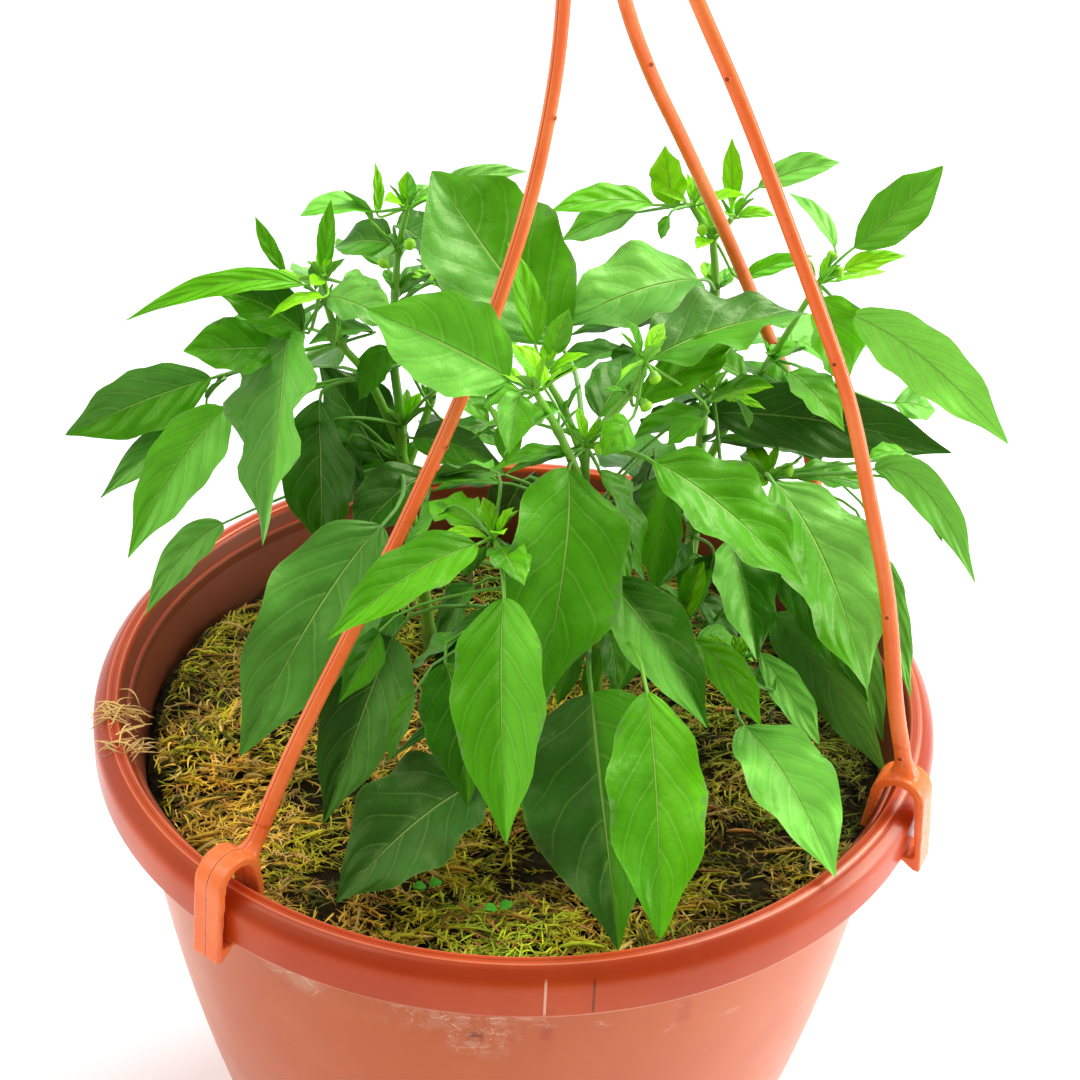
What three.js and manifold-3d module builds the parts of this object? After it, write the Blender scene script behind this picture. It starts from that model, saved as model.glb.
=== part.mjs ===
// Potted chilli pepper plant: three plants in a hanging plastic pot with a clip-on hanger.
// Millimetres, +Z up. The origin is the centre of the pot's underside, and -Y faces the viewer.
import * as THREE from 'three';
import { mergeVertices } from 'three/addons/utils/BufferGeometryUtils.js';
import Module from 'manifold-3d';

const wasm = await Module();
wasm.setup();
const { Manifold, Mesh: SolidMesh } = wasm;

// Driving dimensions of the pot
const POT_HEIGHT = 215;
const WALL = 2.5;
const FLOOR = 3;
const BASE_RADIUS = 80;
const BASE_CORNER = 8;
const BODY_TOP_RADIUS = 130;
const BAND_RADIUS = 143;
const BAND_HEIGHT = 17;
const SHOULDER = 6;
const LIP_RADIUS = 138;
const LIP_WIDTH = 3.5;
const POT_SIDES = 40;
const DRAIN_HOLES = 6;
const DRAIN_RADIUS = 4.5;
const DRAIN_CIRCLE = 62;

// Driving dimensions of the soil
const SOIL_DEPTH_BELOW_RIM = 30;
const SOIL_TOP = POT_HEIGHT - SOIL_DEPTH_BELOW_RIM;
const FIT_GAP = 0.3;

// Driving dimensions of the hanger
const ROD_RADIUS = 2.25;
const ROD_ROOT_RADIUS = 2.9;
const CLIP_WIDTH = 11;
const CLIP_WALL = 3;
const CLIP_LEG_BELOW_RIM = 23;
const CLIP_LEG_LEAN = 2.5;
const CLIP_ARCH_RADIUS = 6;
const CLIP_ARCH_CENTRE = 137.5;
const CLIP_ARCH_HEIGHT = 3;
const CLIP_INNER_LEG = 11;
const HUB_CENTRE = [12.5, 3.5];
const HUB_RADIUS = 16;
const HUB_BOTTOM = 320;
const HUB_THICKNESS = 12;
const SOCKET_DEPTH = 7;
const HOOK_ROD_RADIUS = 3;
const HOOK_RADIUS = 14;
const HOOK_NECK = 10;

// Driving dimensions of the plants
const BLADE_THICKNESS = 0.7;
const PETIOLE_RADIUS = 0.75;
const ROOT_DEPTH = 15;

const DEG = Math.PI / 180;

const terracotta = new THREE.MeshStandardMaterial({ color: 0xc9653f, roughness: 0.42, metalness: 0 });
const hangerPlastic = new THREE.MeshStandardMaterial({ color: 0xd4552a, roughness: 0.35, metalness: 0 });
const soilMix = new THREE.MeshStandardMaterial({ color: 0x4a3a20, roughness: 0.95, metalness: 0 });
const foliage = new THREE.MeshStandardMaterial({ color: 0x3f8f1f, roughness: 0.45, metalness: 0 });

// Turns a closed three.js geometry into a solid, leaving out triangles that have no area.
function toSolid(geometry) {
  const plain = geometry.index ? geometry.clone() : mergeVertices(geometry.clone());
  for (const name of ['normal', 'uv']) {
    plain.deleteAttribute(name);
  }
  const merged = mergeVertices(plain, 1e-4);
  const corners = merged.index.array;
  const kept = [];
  for (let i = 0; i < corners.length; i += 3) {
    const [a, b, c] = [corners[i], corners[i + 1], corners[i + 2]];
    if (a !== b && b !== c && c !== a) {
      kept.push(a, b, c);
    }
  }
  const vertProperties = new Float32Array(merged.attributes.position.array);
  return new Manifold(new SolidMesh({ numProp: 3, vertProperties, triVerts: new Uint32Array(kept) }));
}

// Turns a solid back into a named mesh of the scene.
function toMesh(solid, name, material) {
  const { vertProperties, triVerts } = solid.getMesh();
  const geometry = new THREE.BufferGeometry();
  geometry.setAttribute('position', new THREE.BufferAttribute(new Float32Array(vertProperties), 3));
  geometry.setIndex(new THREE.BufferAttribute(new Uint32Array(triVerts), 1));
  geometry.computeVertexNormals();
  const mesh = new THREE.Mesh(geometry, material);
  mesh.name = name;
  return mesh;
}

// Joins rings of points, all of the same count, into one closed solid with flat ends. The strips
// that start at the ring points in turnedStrips are split into triangles along their other diagonal.
function loft(rings, turnedStrips = []) {
  const count = rings[0].length;
  const corners = [];
  for (let i = 0; i + 1 < rings.length; i += 1) {
    for (let j = 0; j < count; j += 1) {
      const next = (j + 1) % count;
      const [a, b] = [i * count + j, i * count + next];
      const [c, d] = [a + count, b + count];
      if (turnedStrips.includes(j)) {
        corners.push(a, b, c, b, d, c);
      } else {
        corners.push(a, b, d, a, d, c);
      }
    }
  }
  const last = (rings.length - 1) * count;
  for (let j = 1; j + 1 < count; j += 1) {
    corners.push(0, j + 1, j, last, last + j, last + j + 1);
  }
  const geometry = new THREE.BufferGeometry().setFromPoints(rings.flat());
  geometry.setIndex(corners);
  return toSolid(geometry);
}

// Points on a smooth line through the given ones, with the given number of steps between them.
function smoothLine(points, steps) {
  const curve = new THREE.CatmullRomCurve3(points, false, 'catmullrom', 0.5);
  return curve.getPoints((points.length - 1) * steps);
}

// A round rod along a line of points; radiusAt gives its radius from 0 at the start to 1 at the end.
function rod(points, radiusAt, sides) {
  const rings = [];
  let across = new THREE.Vector3(1, 0.3, 0.1);
  points.forEach((point, i) => {
    const before = points[Math.max(i - 1, 0)];
    const after = points[Math.min(i + 1, points.length - 1)];
    const along = after.clone().sub(before).normalize();
    across = across.clone().addScaledVector(along, -across.dot(along)).normalize();
    const other = along.clone().cross(across);
    const radius = radiusAt(i / (points.length - 1));
    const ring = [];
    for (let j = 0; j < sides; j += 1) {
      const angle = (j / sides) * 2 * Math.PI;
      const offset = across.clone().multiplyScalar(Math.cos(angle) * radius);
      ring.push(point.clone().add(offset).addScaledVector(other, Math.sin(angle) * radius));
    }
    rings.push(ring);
  });
  return loft(rings);
}

const vec = ([x, y, z]) => new THREE.Vector3(x, y, z);

// Pot

// Outer radius of the pot's body at a height: a gently convex taper below the band.
const TAPER = 0.064;
const CONVEXITY = 0.00074;
const BODY_TOP = POT_HEIGHT - BAND_HEIGHT;
function bodyRadius(z) {
  const below = Math.max(BODY_TOP - z, 0);
  return BODY_TOP_RADIUS - TAPER * below - CONVEXITY * below * below;
}

// Inner radius of the pot's wall, which widens a little to the lip.
function innerRadius(z) {
  const flare = THREE.MathUtils.clamp((z - BODY_TOP) / BAND_HEIGHT, 0, 1);
  const lipInner = LIP_RADIUS - LIP_WIDTH;
  return THREE.MathUtils.lerp(bodyRadius(z) - WALL, lipInner, flare);
}

const WALL_HEIGHTS = [50, 100, 150, BODY_TOP];

// A solid turned about the pot's axis from a profile of radius and height.
function turned(profile) {
  const geometry = new THREE.LatheGeometry(profile.map(([r, z]) => new THREE.Vector2(r, z)), POT_SIDES);
  geometry.rotateX(Math.PI / 2);
  return toSolid(geometry);
}

// The pot: a thin wall with a rounded foot, a rim band that turns down outside it and drain holes.
function pot() {
  const corner = [0, 30, 60].map((turn) => {
    const start = BASE_RADIUS + BASE_CORNER * Math.sin(turn * DEG);
    return [start, BASE_CORNER * (1 - Math.cos(turn * DEG))];
  });
  const outside = WALL_HEIGHTS.map((z) => [bodyRadius(z), z]);
  const band = [
    [BODY_TOP_RADIUS + 0.5, POT_HEIGHT - SHOULDER],
    [BAND_RADIUS - WALL, POT_HEIGHT - SHOULDER - 1],
    [BAND_RADIUS - WALL, BODY_TOP],
    [BAND_RADIUS, BODY_TOP],
    [BAND_RADIUS, POT_HEIGHT - SHOULDER],
    [BAND_RADIUS - 1.2, POT_HEIGHT - 2],
    [LIP_RADIUS, POT_HEIGHT],
    [LIP_RADIUS - LIP_WIDTH, POT_HEIGHT],
  ];
  const inside = WALL_HEIGHTS.toReversed().map((z) => [innerRadius(z), z]);
  const profile = [[0, 0], ...corner, ...outside, ...band, ...inside, [innerRadius(FLOOR + 5), FLOOR + 5],
    [innerRadius(FLOOR + 5) - 5, FLOOR], [0, FLOOR]];
  let solid = turned(profile);
  for (let i = 0; i < DRAIN_HOLES; i += 1) {
    const turn = (i / DRAIN_HOLES) * 2 * Math.PI;
    const hole = new THREE.CylinderGeometry(DRAIN_RADIUS, DRAIN_RADIUS, FLOOR * 4, 8);
    hole.rotateX(Math.PI / 2);
    hole.translate(DRAIN_CIRCLE * Math.cos(turn), DRAIN_CIRCLE * Math.sin(turn), 0);
    solid = solid.subtract(toSolid(hole));
  }
  return solid;
}

// Soil

// Low mounds and hollows over the soil's surface.
function moundHeight(x, y) {
  const mound = 2.2 * Math.sin(x / 19 + 1) * Math.cos(y / 23);
  return mound + 1.3 * Math.sin(x / 9 - y / 12) + 0.9 * Math.cos(y / 7 + x / 15);
}

const SOIL_RINGS = [36, 72, 108];

// The soil fills the pot up to its mounded surface, with a hole for the foot of each trunk.
function soil(stemRoots) {
  const side = WALL_HEIGHTS.filter((z) => z < SOIL_TOP).map((z) => [innerRadius(z) - FIT_GAP, z]);
  const edge = [innerRadius(SOIL_TOP) - FIT_GAP - 0.2, SOIL_TOP];
  const top = SOIL_RINGS.toReversed().map((r) => [r, SOIL_TOP]);
  const low = FLOOR + FIT_GAP;
  const profile = [[0, low], [innerRadius(FLOOR + 5) - 5 - FIT_GAP, low],
    [innerRadius(FLOOR + 5) - FIT_GAP, FLOOR + 5 + FIT_GAP], ...side, edge, ...top, [0, SOIL_TOP]];
  const geometry = new THREE.LatheGeometry(profile.map(([r, z]) => new THREE.Vector2(r, z)), POT_SIDES);
  geometry.rotateX(Math.PI / 2);
  const place = geometry.attributes.position;
  for (let i = 0; i < place.count; i += 1) {
    const [x, y] = [place.getX(i), place.getY(i)];
    if (place.getZ(i) === SOIL_TOP && Math.hypot(x, y) < edge[0] - 1) {
      place.setZ(i, SOIL_TOP + moundHeight(x, y));
    }
  }
  let solid = toSolid(geometry);
  for (const root of stemRoots) {
    const hole = new THREE.CylinderGeometry(root.radius + FIT_GAP + 0.4, root.radius + FIT_GAP + 0.4, 60, 9);
    hole.rotateX(Math.PI / 2);
    hole.translate(root.x, root.y, root.z - FIT_GAP + 30);
    solid = solid.subtract(toSolid(hole));
  }
  return solid;
}

// Plants

// Half width of a blade from its base, 0, to its tip, 1, as a share of the widest half width.
function bladeShare(along) {
  return 3.33 * along ** 0.7 * (1 - along) ** 1.1;
}

const FOLD = 0.3;
const WAVE = 0.09;
const LOWER_STRIPS = [4, 5];

// Stations along a blade: a wide one is rounder, so it has more of them.
function bladeStations(width) {
  if (width < 13) {
    return [0, 0.38, 1];
  }
  return width < 19 ? [0, 0.25, 0.65, 1] : [0, 0.15, 0.42, 0.76, 1];
}

// A leaf: a petiole from its stem to the blade's base, and the blade from there to its tip. The
// midrib is an arc in an upright plane, and the blade is rolled about it, folded up along it and
// waved at its edges. Both faces are split in the same way.
function leaf(start, [baseAt, tipAt, width, arch, roll]) {
  const base = vec(baseAt);
  const tip = vec(tipAt);
  const bend = base.clone().lerp(tip, 0.45);
  bend.z += arch;
  const midrib = new THREE.QuadraticBezierCurve3(base, bend, tip);
  const reach = tip.clone().sub(base).setZ(0).normalize();
  const side = new THREE.Vector3(0, 0, 1).cross(reach);
  const rings = [];
  const addRing = (point, along, halfWidth, halfThickness, lift) => {
    const left = side.clone().applyAxisAngle(along, roll * DEG);
    const up = along.clone().cross(left);
    const corner = (across, height) => point.clone().addScaledVector(left, across).addScaledVector(up, height);
    rings.push([
      corner(halfWidth, lift[0] - halfThickness),
      corner(halfWidth, lift[0] + halfThickness),
      corner(0, halfThickness),
      corner(-halfWidth, lift[1] + halfThickness),
      corner(-halfWidth, lift[1] - halfThickness),
      corner(0, -halfThickness),
    ]);
  };
  const petiole = base.clone().sub(start).normalize();
  addRing(start, petiole, PETIOLE_RADIUS, PETIOLE_RADIUS, [0, 0]);
  bladeStations(width).forEach((along, i) => {
    const half = bladeShare(along) * width / 2;
    const wave = WAVE * half * (i % 2 ? 1 : -1);
    const narrow = along === 1 ? 0.4 : PETIOLE_RADIUS;
    const lift = [FOLD * half + wave, FOLD * half - wave];
    addRing(midrib.getPoint(along), midrib.getTangent(along), Math.max(half, narrow), BLADE_THICKNESS / 2, lift);
  });
  return loft(rings, LOWER_STRIPS);
}

// A closed flower bud on a short bent stalk.
function bud(start, tipAt) {
  const tip = vec(tipAt);
  const middle = start.clone().lerp(tip, 0.5).add(new THREE.Vector3(0, 0, 2));
  const radii = [0.7, 0.7, 0.8, 1.9, 2.1, 0.7];
  const points = new THREE.QuadraticBezierCurve3(start, middle, tip).getPoints(radii.length - 1);
  return rod(points, (share) => radii[Math.round(share * (radii.length - 1))], 5);
}

// One plant: its branches, with their leaves and buds, joined into one solid.
// branch: path (points of the stem), thick (radius at its start and end), leaves, buds
// leaf row: [path point it grows from, blade's base, blade's tip, width, arch, roll in degrees]
function plant(branches) {
  let solid = null;
  const join = (piece) => {
    solid = solid ? solid.add(piece) : piece;
  };
  for (const { path, thick, leaves = [], buds = [] } of branches) {
    const line = smoothLine(path.map(vec), 2);
    join(rod(line, (share) => THREE.MathUtils.lerp(thick[0], thick[1], share), 5));
    leaves.forEach(([at, ...row]) => join(leaf(vec(path[at]), row)));
    buds.forEach(([at, tip]) => join(bud(vec(path[at]), tip)));
  }
  return solid;
}

const ROOT_Z = SOIL_TOP - ROOT_DEPTH;

const LEFT_TRUNK = [[-33, 52, ROOT_Z], [-33, 52, 193], [-37, 53, 225], [-43, 52, 266], [-43, 50, 283]];
const LEFT_PLANT = [
  {
    path: LEFT_TRUNK,
    thick: [2.6, 2],
    leaves: [
      [3, [-50, 58, 274], [-73, 75, 292], 26, 2, -40],
      [3, [-48, 50, 266], [-62, 45, 255], 14, 3, 10],
      [3, [-100, 18, 263], [-124, 0, 236], 9, 8, -30],
      [3, [-57, -8, 281], [-86, -66, 233], 29, 14, -50],
      [3, [-43, 34, 275], [-57, 15, 265], 14, 5, -30],
      [4, [-38, 34, 288], [-6, 16, 288], 14, 6, 60],
      [3, [-52, 74, 252], [-76, 116, 228], 30, 9, 0],
    ],
  },
  {
    path: [[-43, 52, 272], [-54, 44, 305], [-62, 36, 322], [-66, 28, 342], [-66, 24, 352]],
    thick: [1.6, 1],
    leaves: [
      [1, [-68, 30, 304], [-66, 20, 252], 21, 5, 40],
      [2, [-103, 22, 318], [-150, 10, 301], 18, 2, -70],
      [2, [-97, 10, 311], [-125, -16, 268], 16, 8, -50],
      [2, [-103, 22, 302], [-136, 3, 283], 10, 6, -50],
      [3, [-74, 14, 338], [-79, -30, 286], 33, 12, 45],
      [3, [-79, 14, 334], [-107, 0, 342], 9, 5, -55],
      [4, [-71, 12, 355], [-124, -10, 350], 8, 13, -45],
      [4, [-73, 14, 348], [-93, 10, 337], 10, 4, -65],
      [4, [-79, 30, 350], [-89, 36, 367], 5, 0, -40],
      [4, [-73, 21, 354], [-93, 10, 353], 13, 3, 0],
      [4, [-66, 26, 352], [-64, 30, 377], 6, 0, 20],
      [4, [-59, 18, 353], [-40, 2, 345], 16, 6, 20],
      [3, [-69, 36, 343], [-78, 62, 336], 14, 3, 0],
      [2, [-74, 44, 323], [-112, 70, 300], 26, 9, 0],
      [1, [-65, 54, 303], [-100, 86, 268], 28, 10, 0],
    ],
  },
  {
    path: [[-43, 50, 283], [-47, 56, 312], [-46, 58, 330], [-45, 58, 346], [-42, 56, 362]],
    thick: [1.7, 1],
    leaves: [
      [1, [-47, 44, 317], [-56, 35, 301], 11, 4, -25],
      [3, [-48, 64, 345], [-68, 75, 337], 14, 4, -30],
      [3, [-43, 64, 347], [-32, 75, 334], 10, 3, 20],
      [4, [-53, 54, 362], [-76, 45, 363], 12, 5, -10],
      [4, [-52, 60, 358], [-53, 62, 376], 5, 0, 20],
      [4, [-42, 57, 365], [-42, 60, 374], 6, 1, 0],
      [4, [-40, 58, 364], [-34, 66, 366], 9, 1, 0],
      [4, [-33, 66, 366], [-3, 80, 366], 7, 4, 40],
      [2, [-49, 71, 332], [-60, 110, 318], 26, 8, 0],
    ],
    buds: [[3, [-40, 50, 352]], [3, [-50, 49, 344]]],
  },
  {
    path: [[-42, 52, 262], [-34, 64, 285], [-32, 70, 300], [-30, 72, 325]],
    thick: [1.6, 1.1],
    leaves: [
      [2, [-30, 75, 305], [-24, 90, 316], 10, 2, 0],
      [3, [-32, 69, 330], [-37, 60, 341], 12, 1, 0],
      [3, [-25, 82, 328], [-8, 112, 322], 22, 6, 0],
      [1, [-31, 79, 288], [-26, 122, 270], 30, 10, 0],
      [2, [-23, 78, 301], [6, 104, 286], 24, 7, 0],
    ],
  },
];

const FRONT_TRUNK = [[28, 14, ROOT_Z], [28, 14, 193], [27, 5, 220], [24, -14, 250], [20, -14, 290], [19, -15, 318]];
const FRONT_PLANT = [
  {
    path: FRONT_TRUNK,
    thick: [2.8, 1.5],
    leaves: [
      [3, [23, -60, 258], [35, -128, 212], 43, 10, 30],
      [3, [41, -71, 265], [47, -126, 218], 26, 10, 10],
      [3, [-36, -30, 251], [-56, -64, 203], 20, 10, -20],
      [3, [-21, -48, 253], [-9, -76, 224], 17, 8, 10],
      [3, [-9, -66, 219], [-53, -92, 193], 28, 8, -15],
      [3, [56, -34, 259], [78, -58, 244], 9, 5, 40],
      [4, [28, -34, 280], [60, -73, 254], 23, 9, 20],
      [4, [17, -20, 287], [6, -38, 262], 24, 6, 0],
      [5, [14, -24, 314], [8, -66, 256], 31, 16, -25],
      [5, [40, -22, 318], [88, -45, 289], 27, 9, 15],
      [5, [24, -16, 310], [40, -20, 268], 20, 6, 0],
      [5, [9, 20, 333], [-34, 54, 377], 33, 3, -30],
      [5, [12, -20, 321], [-10, -34, 323], 6, 2, 0],
      [5, [23, -4, 322], [36, 31, 327], 18, 3, 0],
      [2, [11, -8, 223], [-40, -48, 215], 10, 6, 0],
    ],
    buds: [[5, [24, -22, 321]]],
  },
  {
    path: [[24, -14, 250], [10, -28, 275], [-8, -42, 300]],
    thick: [1.5, 1],
    leaves: [
      [1, [-43, -44, 264], [-54, -66, 252], 8, 4, -55],
      [1, [0, -31, 270], [-30, -40, 239], 14, 6, 0],
      [2, [-13, -50, 303], [-55, -86, 291], 16, 8, -25],
      [2, [-12, -38, 302], [-26, -25, 305], 12, 1, 0],
      [2, [-6, -48, 301], [2, -65, 299], 13, 2, 0],
      [2, [-5, -58, 290], [0, -92, 221], 27, 12, 25],
      [2, [-10, -45, 299], [-17, -55, 294], 5, 1, 0],
    ],
  },
  {
    path: [[20, -14, 300], [10, -26, 330], [3, -38, 350]],
    thick: [1.5, 1.1],
    leaves: [
      [2, [-4, -36, 354], [-48, -28, 370], 23, 1, -50],
      [2, [-2, -44, 353], [-4, -54, 338], 10, 3, -30],
      [2, [-1, -40, 351], [-12, -45, 348], 12, 2, 0],
      [2, [6, -39, 353], [14, -42, 362], 8, 1, 0],
    ],
  },
  {
    path: [[19, -15, 312], [12, -11, 328], [5, -10, 340]],
    thick: [1.4, 1],
    leaves: [
      [2, [2, -5, 348], [-8, 12, 374], 10, 1, 0],
      [2, [7, -7, 345], [12, 4, 356], 9, 1, 0],
    ],
  },
  {
    path: [[19, -15, 318], [32, -5, 332], [36, -3, 342]],
    thick: [1.6, 1.1],
    leaves: [
      [1, [38, 4, 339], [89, 26, 346], 25, 6, 5],
      [1, [34, -4, 327], [66, 16, 342], 14, 4, 45],
      [2, [32, -16, 328], [24, -26, 321], 9, 2, -50],
      [2, [35, -3, 345], [30, -2, 356], 7, 1, 0],
    ],
    buds: [[2, [40, -9, 338]], [1, [38, -12, 330]]],
  },
];

const RIGHT_TRUNK = [[60, 52, ROOT_Z], [60, 52, 193], [60, 52, 241], [61, 62, 293], [62, 73, 328], [60, 76, 346]];
const RIGHT_PLANT = [
  {
    path: RIGHT_TRUNK,
    thick: [2.7, 1.3],
    leaves: [
      [2, [60, 42, 241], [58, 10, 233], 12, 3, 0],
      [2, [57, 43, 244], [46, 15, 243], 12, 3, 0],
      [3, [49, 57, 303], [11, 43, 325], 18, 3, 0],
      [3, [49, 66, 298], [12, 77, 300], 18, 4, 0],
      [4, [56, 58, 340], [9, 32, 333], 20, 8, -20],
      [5, [72, 76, 332], [96, 85, 337], 7, 3, 35],
      [3, [63, 80, 296], [70, 138, 276], 30, 10, 0],
      [2, [53, 68, 247], [30, 118, 236], 28, 10, 0],
      [3, [54, 84, 308], [34, 122, 288], 24, 7, 0],
      [3, [72, 82, 302], [98, 114, 284], 24, 7, 0],
    ],
  },
  {
    path: [[60, 76, 346], [52, 76, 358]],
    thick: [1.4, 1],
    leaves: [
      [1, [49, 79, 356], [43, 84, 376], 9, 0, -70],
      [1, [39, 72, 361], [4, 60, 361], 10, 6, -20],
      [1, [34, 78, 354], [10, 84, 341], 8, 3, -60],
      [1, [44, 68, 358], [42, 66, 350], 5, 1, -5],
    ],
    buds: [[0, [55, 70, 352]]],
  },
  {
    path: [[60, 76, 346], [66, 78, 353]],
    thick: [1.3, 1],
    leaves: [
      [1, [66, 82, 357], [64, 84, 380], 7, 0, -35],
      [1, [74, 82, 364], [100, 85, 374], 10, 4, 30],
    ],
  },
  {
    path: [[60, 55, 262], [71, 47, 298], [80, 42, 320], [93, 45, 347]],
    thick: [1.6, 1],
    leaves: [
      [1, [81, 46, 300], [112, 41, 295], 22, 3, 0],
      [1, [123, 12, 262], [133, -12, 222], 9, 5, 10],
      [2, [83, 44, 321], [92, 52, 318], 14, 2, 0],
      [2, [124, 56, 299], [141, 62, 294], 10, 1, 45],
      [2, [86, 38, 318], [105, 25, 303], 17, 3, 0],
      [3, [104, 36, 343], [156, 10, 311], 21, 16, 70],
      [3, [95, 36, 347], [106, 30, 317], 14, 6, 30],
      [3, [103, 50, 360], [129, 60, 384], 16, -4, 60],
      [3, [98, 50, 358], [83, 75, 365], 7, 5, 0],
      [3, [101, 46, 352], [122, 50, 356], 7, 2, 35],
      [3, [99, 48, 347], [117, 56, 347], 6, 1, 0],
      [2, [88, 56, 318], [116, 90, 298], 24, 8, 0],
    ],
    buds: [[3, [98, 50, 356]], [3, [101, 44, 352]]],
  },
  {
    path: [[60, 52, 245], [71, 32, 270], [80, 15, 290]],
    thick: [1.6, 1],
    leaves: [
      [1, [85, 0, 246], [124, -40, 210], 20, 9, 55],
      [1, [84, 2, 267], [116, -28, 232], 17, 9, 40],
      [2, [80, -4, 301], [110, -50, 254], 30, 12, 0],
      [2, [112, 6, 280], [117, 5, 263], 8, 2, 50],
      [2, [114, 6, 300], [149, -8, 267], 10, 18, 60],
      [2, [129, 4, 293], [138, 2, 276], 5, 3, 40],
      [2, [88, 15, 291], [115, 16, 288], 15, 3, 0],
    ],
    buds: [[2, [88, 12, 295]], [2, [84, 8, 288]]],
  },
  {
    path: [[61, 62, 293], [61, 38, 308], [60, 20, 318]],
    thick: [1.6, 1.1],
    leaves: [
      [2, [68, -4, 278], [77, -37, 254], 17, 6, -5],
      [2, [59, 6, 319], [138, -5, 316], 16, 8, 55],
    ],
    buds: [[2, [66, 12, 322]]],
  },
  {
    path: [[60, 52, 226], [66, 16, 228], [73, -15, 235]],
    thick: [1.7, 1.1],
    leaves: [
      [2, [74, -48, 236], [101, -98, 218], 25, 8, 5],
      [2, [80, -18, 243], [100, -40, 223], 12, 4, 25],
      [2, [76, -19, 236], [85, -30, 237], 12, 1, 0],
      [2, [70, -17, 239], [59, -25, 246], 12, 2, 0],
    ],
  },
];

// Where a plant's trunk stands in the soil, and how thick it is there.
function rootOf([base], branches) {
  return { x: base[0], y: base[1], z: base[2], radius: branches[0].thick[0] };
}

// Hanger

// The three arms. azimuth: direction of the clip from the pot's axis, in degrees from +X.
// rise: the rod's line from its foot in the clip, as distance from the pot's axis and height
// above the rim. The left rod stands on the inner shoulder of its clip, the others on the top.
const ARMS = [
  {
    name: 'hanger_arm_left',
    azimuth: -127.5,
    rise: [[130.5, 5], [124.5, 10.5], [115, 24.5], [101.5, 42], [65, 83], [35, 121], [17, 149], [2, 180],
      [-7, 212], [-10, 240], [-9, 270], [-8, 298], [-8, 320]],
  },
  {
    name: 'hanger_arm_right',
    azimuth: -24,
    rise: [[137.5, 10.5], [136, 18], [131, 38], [124, 74], [114, 108], [103.5, 140], [90, 169], [76, 197],
      [62, 224], [47, 250], [33, 275], [22, 298], [17.3, 313], [17, 320]],
  },
  {
    name: 'hanger_arm_back',
    azimuth: 37.5,
    rise: [[137.5, 10.5], [136, 18], [132, 34], [123, 60], [112, 84], [103, 100], [89, 127], [72, 158],
      [56, 186], [41.5, 211], [30, 236], [23, 262], [20, 290], [20, 320]],
  },
];
const ROD_END = HUB_BOTTOM + SOCKET_DEPTH - FIT_GAP;

// Outline of a clip, in radius and height above the rim: legs inside and outside, an arch over
// the rim, and a barb that catches under the band.
function clipOutline() {
  const outer = CLIP_ARCH_CENTRE + CLIP_ARCH_RADIUS;
  const inner = CLIP_ARCH_CENTRE - CLIP_ARCH_RADIUS;
  const leg = outer + CLIP_LEG_LEAN;
  const catchHeight = -BAND_HEIGHT - 0.6;
  const outline = new THREE.Shape();
  outline.moveTo(outer + CLIP_WALL, CLIP_ARCH_HEIGHT);
  outline.absarc(CLIP_ARCH_CENTRE, CLIP_ARCH_HEIGHT, CLIP_ARCH_RADIUS + CLIP_WALL, 0, Math.PI, false);
  outline.lineTo(inner - CLIP_WALL - 1.6, -CLIP_INNER_LEG);
  outline.lineTo(inner - 2.2, -CLIP_INNER_LEG);
  outline.lineTo(inner, CLIP_ARCH_HEIGHT);
  outline.absarc(CLIP_ARCH_CENTRE, CLIP_ARCH_HEIGHT, CLIP_ARCH_RADIUS, Math.PI, 0, true);
  outline.lineTo(leg, catchHeight);
  outline.lineTo(leg - 5.5, catchHeight - 0.3);
  outline.lineTo(leg - 5, catchHeight - 1.6);
  outline.lineTo(leg + 0.6, -CLIP_LEG_BELOW_RIM);
  outline.lineTo(leg + CLIP_WALL - 0.4, -CLIP_LEG_BELOW_RIM);
  outline.closePath();
  return outline;
}

// An arm: a clip over the rim and the rod that rises from it to the hub.
function arm({ azimuth, rise }) {
  const radial = new THREE.Vector3(Math.cos(azimuth * DEG), Math.sin(azimuth * DEG), 0);
  const up = new THREE.Vector3(0, 0, 1);
  const place = ([r, z]) => radial.clone().multiplyScalar(r).addScaledVector(up, POT_HEIGHT + z);
  const clip = new THREE.ExtrudeGeometry(clipOutline(), { depth: CLIP_WIDTH, bevelEnabled: false, curveSegments: 7 });
  clip.translate(0, POT_HEIGHT, -CLIP_WIDTH / 2);
  clip.applyMatrix4(new THREE.Matrix4().makeBasis(radial, up, radial.clone().cross(up)));
  const endRadius = rise.at(-1)[0];
  const points = [...rise, [endRadius, ROD_END]].map(place);
  const taper = (share) => {
    const flare = Math.max(0, 1 - share / 0.06);
    return THREE.MathUtils.lerp(ROD_ROOT_RADIUS, ROD_RADIUS, Math.min(share * 3, 1)) + 1.8 * flare;
  };
  return toSolid(clip).add(rod(smoothLine(points, 2), taper, 7));
}

// Where the upper end of an arm's rod stands in the hub, in plan.
function rodEnd({ azimuth, rise }) {
  const reach = rise.at(-1)[0];
  return [reach * Math.cos(azimuth * DEG), reach * Math.sin(azimuth * DEG)];
}

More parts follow.
